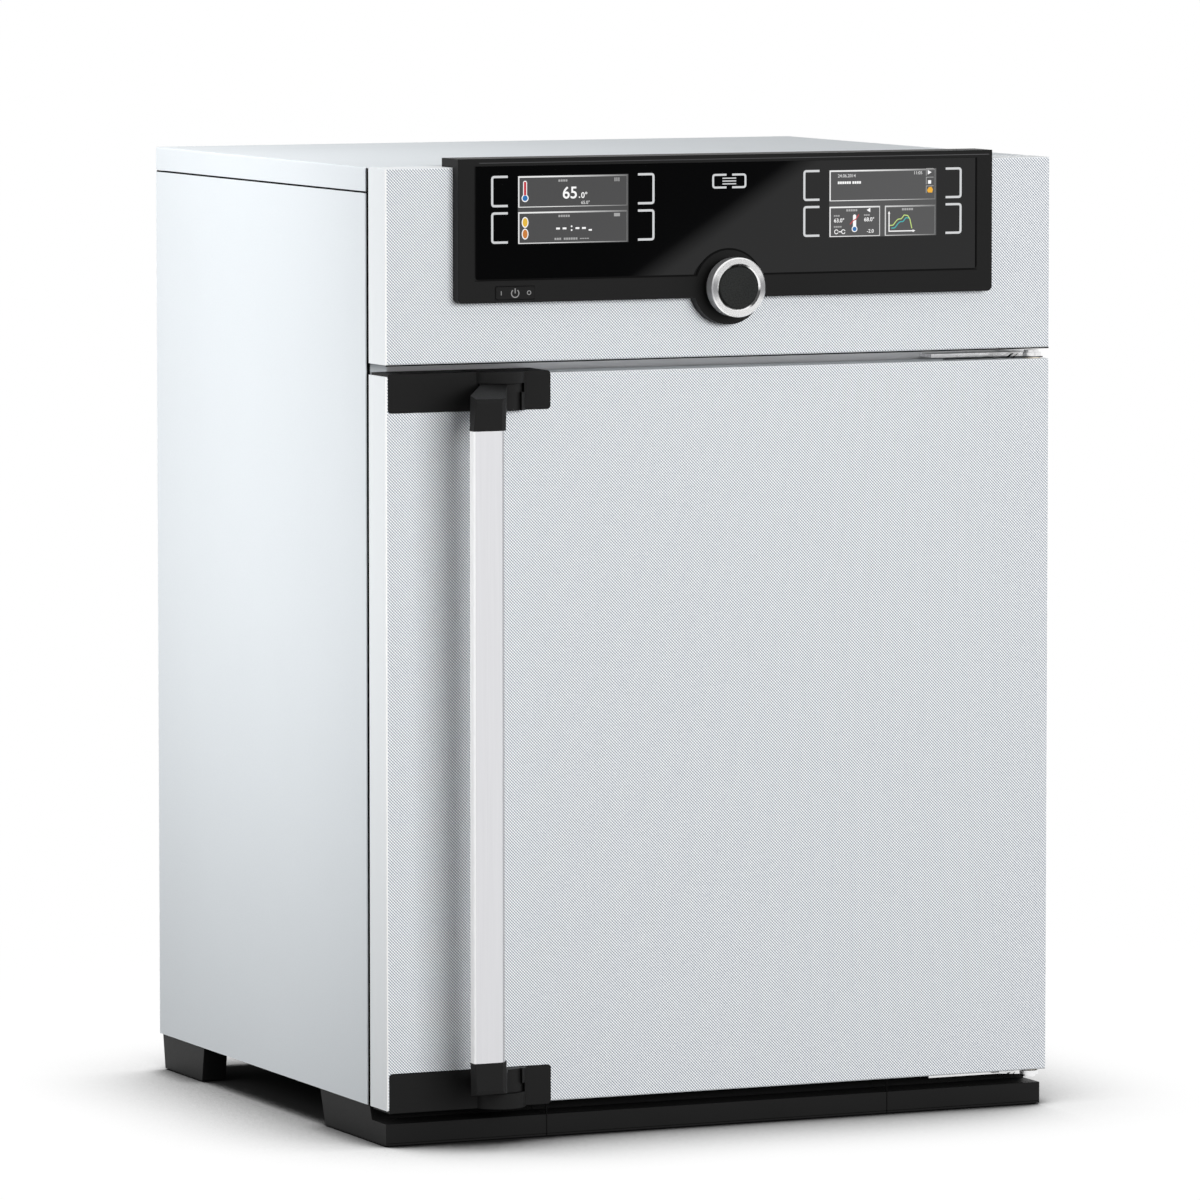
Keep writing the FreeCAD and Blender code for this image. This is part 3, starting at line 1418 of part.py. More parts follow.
handle_bar()
handle_arm("upper_handle_arm", upper_latch_floor, upper_seam - upper_latch_floor,
           bar_top - upper_latch_floor, 1)
handle_arm("lower_handle_arm", lower_latch_top, lower_latch_top - lower_seam,
           lower_latch_top - bar_bottom, -1)
latch_hooks()

doc.recompute()
for item in doc.Objects:
    if "Invalid" in item.State or "Error" in item.State:
        raise RuntimeError("%s of %s failed" % (item.Name, item.getParentGeoFeatureGroup()))
    if item.TypeId == "PartDesign::Pocket" and not item.Shape.Volume < item.BaseFeature.Shape.Volume:
        raise RuntimeError("%s cuts nothing" % item.Name)

os.makedirs("parts", exist_ok=True)
for item in sub_parts:
    shape = item.Shape
    if shape.isNull() or not shape.isValid():
        raise RuntimeError("%s has no valid shape" % item.Label)
    shape.exportStep("parts/%s.step" % item.Label)
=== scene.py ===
import json
import math

import bmesh
import bpy
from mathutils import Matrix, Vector


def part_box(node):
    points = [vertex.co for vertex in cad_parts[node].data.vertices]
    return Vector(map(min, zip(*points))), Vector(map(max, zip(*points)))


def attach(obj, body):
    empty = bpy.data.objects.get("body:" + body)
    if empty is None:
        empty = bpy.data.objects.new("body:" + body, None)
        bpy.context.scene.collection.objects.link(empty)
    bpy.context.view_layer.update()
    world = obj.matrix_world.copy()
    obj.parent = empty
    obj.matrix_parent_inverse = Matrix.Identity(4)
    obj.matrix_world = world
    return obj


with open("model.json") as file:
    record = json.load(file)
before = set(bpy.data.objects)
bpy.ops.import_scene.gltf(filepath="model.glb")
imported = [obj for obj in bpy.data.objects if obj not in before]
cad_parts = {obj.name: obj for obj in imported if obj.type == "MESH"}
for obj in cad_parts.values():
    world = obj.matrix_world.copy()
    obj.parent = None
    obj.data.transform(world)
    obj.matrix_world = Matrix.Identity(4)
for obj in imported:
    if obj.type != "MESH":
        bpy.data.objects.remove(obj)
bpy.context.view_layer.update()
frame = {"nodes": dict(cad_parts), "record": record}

# The looks of a laboratory oven: a procedural material for every CAD node, and the printed
# marks, screens, painted shade in seams, painted highlights and small fasteners that are too
# thin for solids. Everything stands in the CAD model's frame. Shaders work in metres. Mesh
# helpers and their sizes are in mm.

MM = 0.001


def edges(node):
    """The low and the high corner of a CAD node, in mm."""
    low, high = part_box(node)
    return low / MM, high / MM


def front_of(node):
    return edges(node)[0].y


def middle(node):
    low, high = edges(node)
    return (low + high) / 2


GLASS_FRONT = front_of("cockpit_glass")
# The flat front of the cockpit frame, behind the frame's upper lip.
BEZEL_FRONT = -240.0
KNOB_Z = middle("turn_ring").z


# Shader nodes.
class Wiring:
    """Short calls for the nodes of a material or world. A value is a socket or a number."""

    def __init__(self, owner):
        owner.use_nodes = True
        self.owner = owner
        self.tree = owner.node_tree

    def fill(self, node, values):
        for key, value in values.items():
            socket = node.inputs[key]
            if isinstance(value, bpy.types.NodeSocket):
                self.tree.links.new(value, socket)
            elif socket.type == "RGBA":
                socket.default_value = (*value, 1.0)
            else:
                socket.default_value = value

    def node(self, kind, values=None, **settings):
        made = self.tree.nodes.new("ShaderNode" + kind)
        for name, value in settings.items():
            setattr(made, name, value)
        self.fill(made, values or {})
        return made

    def shade(self, values):
        self.fill(self.tree.nodes["Principled BSDF"], values)

    def place(self, stretch=(1, 1, 1)):
        """Object coordinates in metres, stretched along each axis."""
        source = self.node("TexCoord").outputs["Object"]
        return self.node("Mapping", {"Vector": source, "Scale": stretch}).outputs["Vector"]

    def noise(self, vector, scale, detail=2.0, roughness=0.5):
        return self.node("TexNoise", {"Vector": vector, "Scale": scale, "Detail": detail,
                                      "Roughness": roughness}).outputs["Fac"]

    def math(self, operation, *values):
        return self.node("Math", dict(enumerate(values)), operation=operation).outputs[0]

    def mix(self, factor, one, two):
        return self.node("Mix", {0: factor, 6: one, 7: two}, data_type="RGBA").outputs[2]

    def span(self, value, low, high, low_out=0.0, high_out=1.0):
        """Maps a range onto another, held at its ends."""
        return self.node("MapRange", {"Value": value, "From Min": low, "From Max": high,
                                      "To Min": low_out, "To Max": high_out}).outputs["Result"]

    def split(self, vector):
        return self.node("SeparateXYZ", {0: vector}).outputs[:3]

    def bump(self, height, strength, distance, edge=0.0):
        """Surface relief. With an edge radius, sharp edges catch the light as if rounded."""
        values = {"Strength": strength, "Distance": distance, "Height": height}
        if edge:
            values["Normal"] = self.node("Bevel", {"Radius": edge}, samples=4).outputs["Normal"]
        self.shade({"Normal": self.node("Bump", values).outputs["Normal"]})

    def seen_directly(self):
        """1 for rays from the eye, from a mirror or through glass, 0 for light on objects."""
        rays = self.node("LightPath").outputs
        return self.math("MAXIMUM", rays["Is Camera Ray"], self.math(
            "MAXIMUM", rays["Is Glossy Ray"], rays["Is Transmission Ray"]))


def new_look(name):
    return Wiring(bpy.data.materials.new(name))


def grey(level, blue=0.0):
    return (level, level, level + blue)


WHITE = grey(1.0)


# Materials. Colours are linear light.
GRAIN_SHARE = 0.7


def textured_steel():
    """Light steel sheet with a faint leather-like grain."""
    look = new_look("textured_steel")
    place = look.place()
    grain, cloud = look.noise(place, scale=900, detail=3), look.noise(place, scale=9)
    factor = look.math("ADD", look.math("MULTIPLY", grain, GRAIN_SHARE),
                       look.math("MULTIPLY", cloud, 1 - GRAIN_SHARE))
    look.shade({"Base Color": look.mix(factor, (0.72, 0.76, 0.79), (0.80, 0.84, 0.87)),
                "Roughness": 0.55, "Specular IOR Level": 0.15})
    look.bump(grain, strength=0.25, distance=0.0003)
    return look.owner


# Rows run both ways, each with its slope and weight. The limits are where the front face and
# the painted highlight along the fold at the sheet's left edge set in.
PATTERN_PITCH = 2.44
PATTERN_ROWS = ((1, 0.85), (-1, 0.35))
SHEET_FRONT = (-228.3, -228.9)
FOLD_HIGHLIGHT_SIDE, FOLD_HIGHLIGHT_FRONT = (-291.4, -291.8), (-227.2, -228.0)


def patterned_steel():
    """Stainless sheet rolled with a fine diagonal pattern on its front face, and a painted
    highlight on its left fold.
    """
    look = new_look("patterned_steel")
    x, y, z = look.split(look.place())
    turns = 2 * math.pi / (PATTERN_PITCH * MM)
    rows = []
    for slope, weight in PATTERN_ROWS:
        along = look.math("MULTIPLY_ADD", z, slope, x)
        wave = look.math("SINE", look.math("MULTIPLY", along, turns))
        rows.append(look.math("MULTIPLY", wave, weight))

    def across(coordinate, limits):
        return look.span(coordinate, limits[0] * MM, limits[1] * MM)

    level = look.span(look.math("ADD", *rows), -1, 1)
    front = across(y, SHEET_FRONT)
    factor = look.math("ADD", look.math(
        "MULTIPLY", look.math("SUBTRACT", level, 0.5), front), 0.5)
    rolled = look.mix(factor, (0.20, 0.235, 0.29), (0.99, 1.0, 1.0))
    color = look.mix(front, (0.84, 0.87, 0.89), rolled)
    # Painted highlight: the fold at the sheet's left front edge is made white.
    painted_fold_highlight = look.math("MULTIPLY", across(x, FOLD_HIGHLIGHT_SIDE), across(y, FOLD_HIGHLIGHT_FRONT))
    look.shade({"Base Color": look.mix(painted_fold_highlight, color, WHITE), "Metallic": 0.05,
                "Roughness": 0.45, "IOR": 1.4})
    look.bump(factor, strength=0.35, distance=0.0004)
    return look.owner


LINE_NOISE = (4, 0.6)


def brushed_metal(name, dark, light, stretch, roughness, metallic=1.0, strength=0.15):
    """Metal with fine lines along the axis whose stretch is smallest."""
    look = new_look(name)
    lines = look.noise(look.place(stretch), 1.0, *LINE_NOISE)
    look.shade({"Base Color": look.mix(lines, dark, light), "Metallic": metallic,
                "Roughness": look.span(lines, 0.2, 0.8, roughness - 0.06, roughness + 0.08)})
    look.bump(lines, strength, distance=0.0002)
    return look.owner


EDGE_ROUNDING = 0.0009
CLOUD_SCALE = 14


def moulding(name, dark, light, roughness, grain=1400.0, strength=0.25, ior=1.5):
    """Plastic or rubber with a fine spark-eroded grain and softly rounded edges."""
    look = new_look(name)
    place = look.place()
    fine, cloud = look.noise(place, grain), look.noise(place, CLOUD_SCALE)
    look.shade({"Base Color": look.mix(cloud, dark, light), "IOR": ior,
                "Roughness": look.span(fine, 0.25, 0.75, roughness - 0.06, roughness + 0.06)})
    look.bump(fine, strength, distance=0.0002, edge=EDGE_ROUNDING)
    return look.owner


def dark_glass():
    """Black glass that is almost a mirror."""
    look = new_look("dark_glass")
    cloud = look.noise(look.place(), scale=6, detail=1)
    look.shade({"Base Color": look.mix(cloud, (0.0015, 0.0016, 0.0017), (0.003, 0.003, 0.0032)),
                "Roughness": look.span(cloud, 0, 1, 0.01, 0.03), "IOR": 1.39})
    return look.owner


SPECKLE_SCALE, SPECKLE_DIM = 2500, 0.93


def lit(name, color, base=0.1, fade=None):
    """A mark that glows: a screen's lit mark, or a print with painted light. A fade is (colour,
    start, stop): its light ends so along X.
    """
    look = new_look(name)
    place = look.place()
    dim = tuple(channel * SPECKLE_DIM for channel in color)
    shade = look.mix(look.noise(place, SPECKLE_SCALE, detail=1), dim, color)
    if fade:
        end, start, stop = fade
        left = look.span(look.split(place)[0], start * MM, stop * MM, 1.0, 0.0)
        shade = look.mix(left, end, shade)
    look.shade({"Base Color": tuple(channel * base for channel in color), "Roughness": 0.12,
                "IOR": 1.42, "Emission Color": shade, "Emission Strength": 1.0})
    return look.owner


CHAMFER_PAINT_RANGE = (0.35, 0.6)


def satin_bar():
    """Satin anodised bar with fine lines along its length, a painted highlight on its left chamfer
    and painted shade on its right.
    """
    look = new_look("satin_aluminium")
    lines = look.noise(look.place((900, 900, 12)), 1.0, *LINE_NOISE)
    color = look.mix(lines, grey(0.63, 0.02), grey(0.71, 0.02))
    across = look.split(look.node("TexCoord").outputs["Normal"])[0]
    # Painted light: the chamfer facing left is made bright and the one facing right dark.
    for side, chamfer_tone_painted in ((-1, grey(0.97, 0.01)), (1, grey(0.42, 0.02))):
        chamfer_mask = look.span(across, side * CHAMFER_PAINT_RANGE[0], side * CHAMFER_PAINT_RANGE[1])
        color = look.mix(chamfer_mask, color, chamfer_tone_painted)
    look.shade({"Base Color": color, "Roughness": look.span(lines, 0.2, 0.8, 0.44, 0.58)})
    look.bump(lines, strength=0.05, distance=0.0002)
    return look.owner


def wool():
    """Pressed mineral wool."""
    look = new_look("mineral_wool")
    fibre = look.noise(look.place((1, 1, 3)), scale=180, detail=6, roughness=0.7)
    look.shade({"Base Color": look.mix(fibre, (0.45, 0.38, 0.22), (0.72, 0.66, 0.48)),
                "Roughness": 0.95, "Sheen Weight": 0.3})
    look.bump(fibre, strength=0.8, distance=0.002)
    return look.owner


# The radius at which the ring's inner lip ends, the depth at which its side starts, and the
# fineness of its grooves.
RING_FACE = front_of("turn_ring")
RING_LIP = (18.8, 19.1)
RING_EDGE = (0.9, 1.2)
LATHE_GROOVES = 16000


def turned_metal():
    """Bright metal turned about the control's axis, duller round its side, with painted
    highlights.
    """
    look = new_look("bright_metal")
    x, y, z = look.split(look.place())
    z = look.math("SUBTRACT", z, KNOB_Z * MM)
    radius = look.math("SQRT", look.math("ADD", look.math("MULTIPLY", x, x),
                                         look.math("MULTIPLY", z, z)))
    angle = look.math("ARCTAN2", z, x)
    level = look.span(look.math("SINE", look.math("MULTIPLY", radius, LATHE_GROOVES)), -1, 1)
    # Painted highlights: the face is bright above and below the axis and dull beside it, and the
    # inner lip has dark and white glints by angle. Both turn with the ring.
    sector_highlights = look.math("COSINE", look.math("MULTIPLY", angle, 2.0))
    sectors_and_grooves = look.math("ADD", look.span(sector_highlights, 0.55, 1.0), look.math("MULTIPLY", level, 0.08))
    face = look.mix(sectors_and_grooves, WHITE, grey(0.42, 0.01))
    lip_glints = look.math("SINE", look.math("MULTIPLY", angle, 3.0))
    lip = look.mix(look.span(lip_glints, -0.5, 0.1), grey(0.10), WHITE)
    face = look.mix(look.span(radius, *(r * MM for r in RING_LIP)), lip, face)
    streaks = look.noise(look.place((60, 1800, 60)), scale=1.0, detail=3)
    side = look.mix(streaks, grey(0.26, 0.005), grey(0.70, 0.01))
    sideways = look.span(y, *((RING_FACE + depth) * MM for depth in RING_EDGE))
    look.shade({"Base Color": look.mix(sideways, face, side), "Roughness": 0.2,
                "Metallic": look.span(sideways, 0, 1, 1.0, 0.2), "Anisotropic": 0.4})
    look.bump(level, strength=0.02, distance=0.00002)
    return look.owner


def laminate():
    """Circuit board: green mask with a grid of lighter tracks."""
    look = new_look("circuit_board")
    cells = look.node("TexBrick", {
        "Vector": look.place(), "Scale": 60, "Color1": (0.01, 0.12, 0.05),
        "Color2": (0.02, 0.17, 0.07), "Mortar": (0.05, 0.28, 0.12)})
    look.shade({"Base Color": cells.outputs["Color"], "Roughness": 0.3})
    return look.owner


# Each moulding's darker and lighter colour, roughness, and where they differ from the usual
# the grain's fineness, its strength and the index of refraction.
MOULDINGS = {
    "zinc_steel": ((0.50, 0.52, 0.54), (0.62, 0.64, 0.66), 0.45, 300),
    "heating_rod": ((0.16, 0.15, 0.14), (0.26, 0.24, 0.22), 0.5, 500),
    "black_moulding": (grey(0.008), grey(0.011), 0.5, 1400, 0.25, 1.22),
    "black_gloss": ((0.010, 0.011, 0.0105), (0.013, 0.014, 0.0135), 0.28, 900, 0.05, 1.3),
    "bronze": ((0.62, 0.56, 0.46), (0.72, 0.67, 0.58), 0.4, 400),
    "seal_silicone": (grey(0.05), grey(0.07), 0.6, 200),
    "pad_rubber": (grey(0.02), grey(0.03), 0.8, 300),
    "socket_plastic": (grey(0.02), grey(0.028), 0.45, 700),
    "iron_core": ((0.14, 0.13, 0.12), (0.22, 0.21, 0.20), 0.5, 150),
}
MATERIALS = {
    "textured_steel": textured_steel(),
    "patterned_steel": patterned_steel(),
    "stainless": brushed_metal("stainless", grey(0.60, 0.02), grey(0.80, 0.02),
                               stretch=(25, 25, 900), roughness=0.34, metallic=0.9,
                               strength=0.25),
    "shelf_wire": brushed_metal("shelf_wire", (0.72, 0.73, 0.74), (0.86, 0.87, 0.88),
                                stretch=(300, 300, 300), roughness=0.2),
    "plated_steel": brushed_metal("plated_steel", grey(0.82, 0.01), grey(0.97),
                                  stretch=(60, 700, 700), roughness=0.28),
    "mineral_wool": wool(),
    "dark_glass": dark_glass(),
    "display": lit("display", grey(0.07, 0.002)),
    "satin_aluminium": satin_bar(),
    "bright_metal": turned_metal(),
    "circuit_board": laminate(),
}
MATERIALS.update({name: moulding(name, *values) for name, values in MOULDINGS.items()})
# Painted shade: near-black for strips laid in gaps and grooves that lie in shadow.
GAP_SHADE = moulding("painted_gap_shade", grey(0.004), grey(0.007), 0.7, ior=1.1)
GOLD = moulding("contact_gold", (0.75, 0.52, 0.20), (0.85, 0.62, 0.26), 0.3, 400)

for entry in frame["record"]["subparts"]:
    for holder in frame["nodes"][entry["node"]].material_slots:
        holder.material = MATERIALS[entry["material_slot"]]


# Mesh helpers. Front faces are drawn in (x, z), and a layer is the y of its back and front.
def new_object(name, bm, material):
    mesh = bpy.data.meshes.new(name)
    bm.to_mesh(mesh)
    bm.free()
    mesh.materials.append(material)
    item = bpy.data.objects.new(name, mesh)
    bpy.context.collection.objects.link(item)
    return item


def add_piece(name, shapes, material, body="casing", shift=0.0):
    """One piece from rows of a helper and its values, moved right by a shift."""
    bm = bmesh.new()
    for helper, *values in shapes:
        helper(bm, *values)
    bmesh.ops.translate(bm, verts=bm.verts[:], vec=(shift * MM, 0, 0))
    bmesh.ops.recalc_face_normals(bm, faces=bm.faces)
    item = new_object(name, bm, material)
    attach(item, body)


def prism(bm, outline, layer):
    loops = [[bm.verts.new((x * MM, y * MM, z * MM)) for x, z in outline] for y in layer]
    back, front = loops
    bm.faces.new(front)
    bm.faces.new(back[::-1])
    for index, corner in enumerate(back):
        following = (index + 1) % len(back)
        bm.faces.new((corner, back[following], front[following], front[index]))


def bar(bm, x0, x1, z0, z1, layer):
    prism(bm, [(x0, z0), (x1, z0), (x1, z1), (x0, z1)], layer)


def slab(bm, x0, x1, y0, y1, z0, z1):
    bar(bm, x0, x1, z0, z1, (y1, y0))


def arc(x, z, radius, start, end, steps=24):
    return [(x + radius * math.cos(math.radians(start + (end - start) * k / steps)),
             z + radius * math.sin(math.radians(start + (end - start) * k / steps)))
            for k in range(steps + 1)]


def oval(bm, x, z, across, up, layer):
    prism(bm, [(x + (px - x) * across, z + (pz - z) * up)
               for px, pz in arc(x, z, 1.0, 0, 345, 23)], layer)


def disc(bm, x, z, radius, layer):
    oval(bm, x, z, radius, radius, layer)


def rounded_path(points, radius):
    """The same path with its inner corners rounded."""
    steps = 5
    path = [Vector(points[0])]
    for before, corner, after in zip(points, points[1:], points[2:]):
        corner = Vector(corner)
        start = corner + (Vector(before) - corner).normalized() * radius
        end = corner + (Vector(after) - corner).normalized() * radius
        for step in range(steps + 1):
            t = step / steps
            path.append(start * (1 - t) ** 2 + corner * 2 * t * (1 - t) + end * t * t)
    path.append(Vector(points[-1]))
    return path


SHARPEST_MITRE = 0.4


def stroke(bm, points, width, layer):
    """A line of even width along an open path."""
    points = [Vector(point) for point in points]
    left, right = [], []
    for index, point in enumerate(points):
        before = (point - points[index - 1]).normalized() if index else None
        after = (points[index + 1] - point).normalized() if index + 1 < len(points) else None
        if before and after:
            along = (before + after).normalized()
            grow = 1 / max(SHARPEST_MITRE, along.dot(after))
        else:
            along, grow = before or after, 1
        side = Vector((-along.y, along.x)) * (width / 2 * grow)
        left.append(point + side)
        right.append(point - side)
    prism(bm, left + right[::-1], layer)


def bracket(bm, x0, x1, z0, z1, opening, width, layer):
    """Three sides of a key's outline; opening is 1 where the fourth lies at x1."""
    half = width / 2
    near, far = (x0 + half, x1) if opening > 0 else (x1 - half, x0)
    points = [(far, z1 - half), (near, z1 - half), (near, z0 + half), (far, z0 + half)]
    stroke(bm, rounded_path(points, 2.0), width, layer)


def spandrel(bm, x, z, right, up, radius, layer):
    """Fills a square corner outside a round one. right and up point into the corner."""
    turn = {(1, 1): 0, (-1, 1): 90, (-1, -1): 180, (1, -1): 270}[(right, up)]
    outline = arc(x - right * radius, z - up * radius, radius, turn, turn + 90, 8)
    prism(bm, outline + [(x, z)], layer)


FONT_WEIGHT = 0.012


def numerals(bm, text, size, x, z, layer):
    """Numerals with their lower left corner at (x, z)."""
    curve = bpy.data.curves.new("numerals", "FONT")
    curve.body = text
    curve.size = size
    curve.offset = size * FONT_WEIGHT
    holder = bpy.data.objects.new("numerals", curve)
    bpy.context.collection.objects.link(holder)
    mesh = bpy.data.meshes.new_from_object(holder.evaluated_get(
        bpy.context.evaluated_depsgraph_get()))
    bpy.data.objects.remove(holder)
    bm.from_mesh(mesh)
    bpy.data.meshes.remove(mesh)
    back, front = layer
    for vertex in bm.verts:
        vertex.co = Vector(((x + vertex.co.x) * MM, front * MM, (z + vertex.co.y) * MM))
    extruded = bmesh.ops.extrude_face_region(bm, geom=bm.faces[:])
    for element in extruded["geom"]:
        if isinstance(element, bmesh.types.BMVert):
            element.co.y = back * MM


# Screens and the touch keys beside them. Marks are placed from a screen's left edge.
SCREEN_FACE = GLASS_FRONT - 0.06
ART_FACE = GLASS_FRONT - 0.10
ON_GLASS, SCREEN = (GLASS_FRONT, ART_FACE), (GLASS_FRONT, SCREEN_FACE)
ART, ON_ART = (SCREEN_FACE, ART_FACE), (ART_FACE, GLASS_FRONT - 0.14)
SCREEN_LEFT = {"left": -183.6, "right": 88.9}
SCREEN_WIDTH, SCREEN_TOP, SCREEN_FLOOR = 95.7, 770.0, 716.0
KEY_LINE, MIDDLE_KEY_LINE = 1.8, 1.6
KEY_ROWS = ((745.6, 770.4), (716.8, 741.6))
KEYS_BEFORE, KEYS_AFTER = (-23.0, -8.7), (8.4, 22.8)
MIDDLE_KEY, MIDDLE_KEY_ENDS = (757.0, 768.7), ((-14.5, -2.0, 1), (3.0, 15.5, -1))
WORD, WORD_LINES, WORD_HALF = (-5.5, 6.5), (760.6, 762.85, 765.1), 0.45

# The screen inks are lit by the screens. The white of the printed key outlines glows as painted
# light.
INKS = {name: lit(name, color) for name, color in {
    "white_print_glow": (0.60, 0.61, 0.62), "screen_grey": grey(0.072, 0.001),
    "screen_white": grey(0.90), "screen_soft_white": grey(0.36),
    "screen_pale_white": grey(0.62), "screen_red": (0.50, 0.045, 0.06),
    "screen_blue": (0.03, 0.16, 0.42), "screen_yellow": (0.72, 0.45, 0.06),
    "screen_orange": (0.55, 0.20, 0.05), "screen_green": (0.50, 0.66, 0.20),
    "screen_cyan": (0.05, 0.42, 0.42), "screen_amber": (0.80, 0.40, 0.03)}.items()}

keys = []
for left in SCREEN_LEFT.values():
    for row in KEY_ROWS:
        for edge, reach, opening in ((left, KEYS_BEFORE, 1),
                                     (left + SCREEN_WIDTH, KEYS_AFTER, -1)):
            keys.append((bracket, edge + reach[0], edge + reach[1], *row, opening, KEY_LINE,
                         ON_GLASS))
for x0, x1, opening in MIDDLE_KEY_ENDS:
    keys.append((bracket, x0, x1, *MIDDLE_KEY, opening, MIDDLE_KEY_LINE, ON_GLASS))
for level in WORD_LINES:
    keys.append((bar, *WORD, level - WORD_HALF, level + WORD_HALF, ON_GLASS))
add_piece("touch_key_outlines", keys, INKS["white_print_glow"])


def pane(bm, x0, x1, z0, z1):
    """A pane's outline, wider along its top and left."""
    top, left, thin = 1.2, 1.0, 0.6
    bar(bm, x0, x1, z1 - top, z1, ART)
    bar(bm, x0, x0 + left, z0, z1 - top, ART)
    bar(bm, x0 + left, x1, z0, z0 + thin, ART)
    bar(bm, x1 - thin, x1, z0 + thin, z1 - top, ART)


def blocks(bm, x, z, count, width=1.6, height=1.7, gap=0.45):
    """A row of small blocks where a screen shows a caption."""
    for index in range(count):
        start = x + index * (width + gap)
        bar(bm, start, start + width, z, z + height, ART)


def thermometer(bm, x, top, height):
    """A thermometer's outline: a stem with a bulb at its foot."""
    bulb, stem = height * 0.19 - 0.3, height * 0.115 - 0.3
    centre = top - height * 0.81
    gap = math.degrees(math.asin(stem / bulb))
    outline = arc(x, centre, bulb, 90 + gap, 450 - gap, 20)
    prism(bm, outline + arc(x, top - height * 0.115, stem, 0, 180, 10), ART)


PANES = {
    "left": [(pane, 0.3, 94.8, 745.0, 769.7), (pane, 0.3, 94.8, 716.4, 741.4)],
    "right": [(pane, 0.3, 94.8, 745.0, 769.7), (pane, 0.3, 45.3, 716.4, 740.6),
              (pane, 49.6, 94.8, 716.4, 740.6)],
}
PANE_FADE_FROM = 30.0
for name, left in SCREEN_LEFT.items():
    right = left + SCREEN_WIDTH
    add_piece(name + "_screen", [(bar, 0.0, SCREEN_WIDTH, SCREEN_FLOOR, SCREEN_TOP, SCREEN)],
              INKS["screen_grey"], shift=left)
    ink = lit(name + "_pane_edge", grey(0.80), fade=(grey(0.085), left + PANE_FADE_FROM, right))
    add_piece(name + "_pane_edges", PANES[name], ink, shift=left)

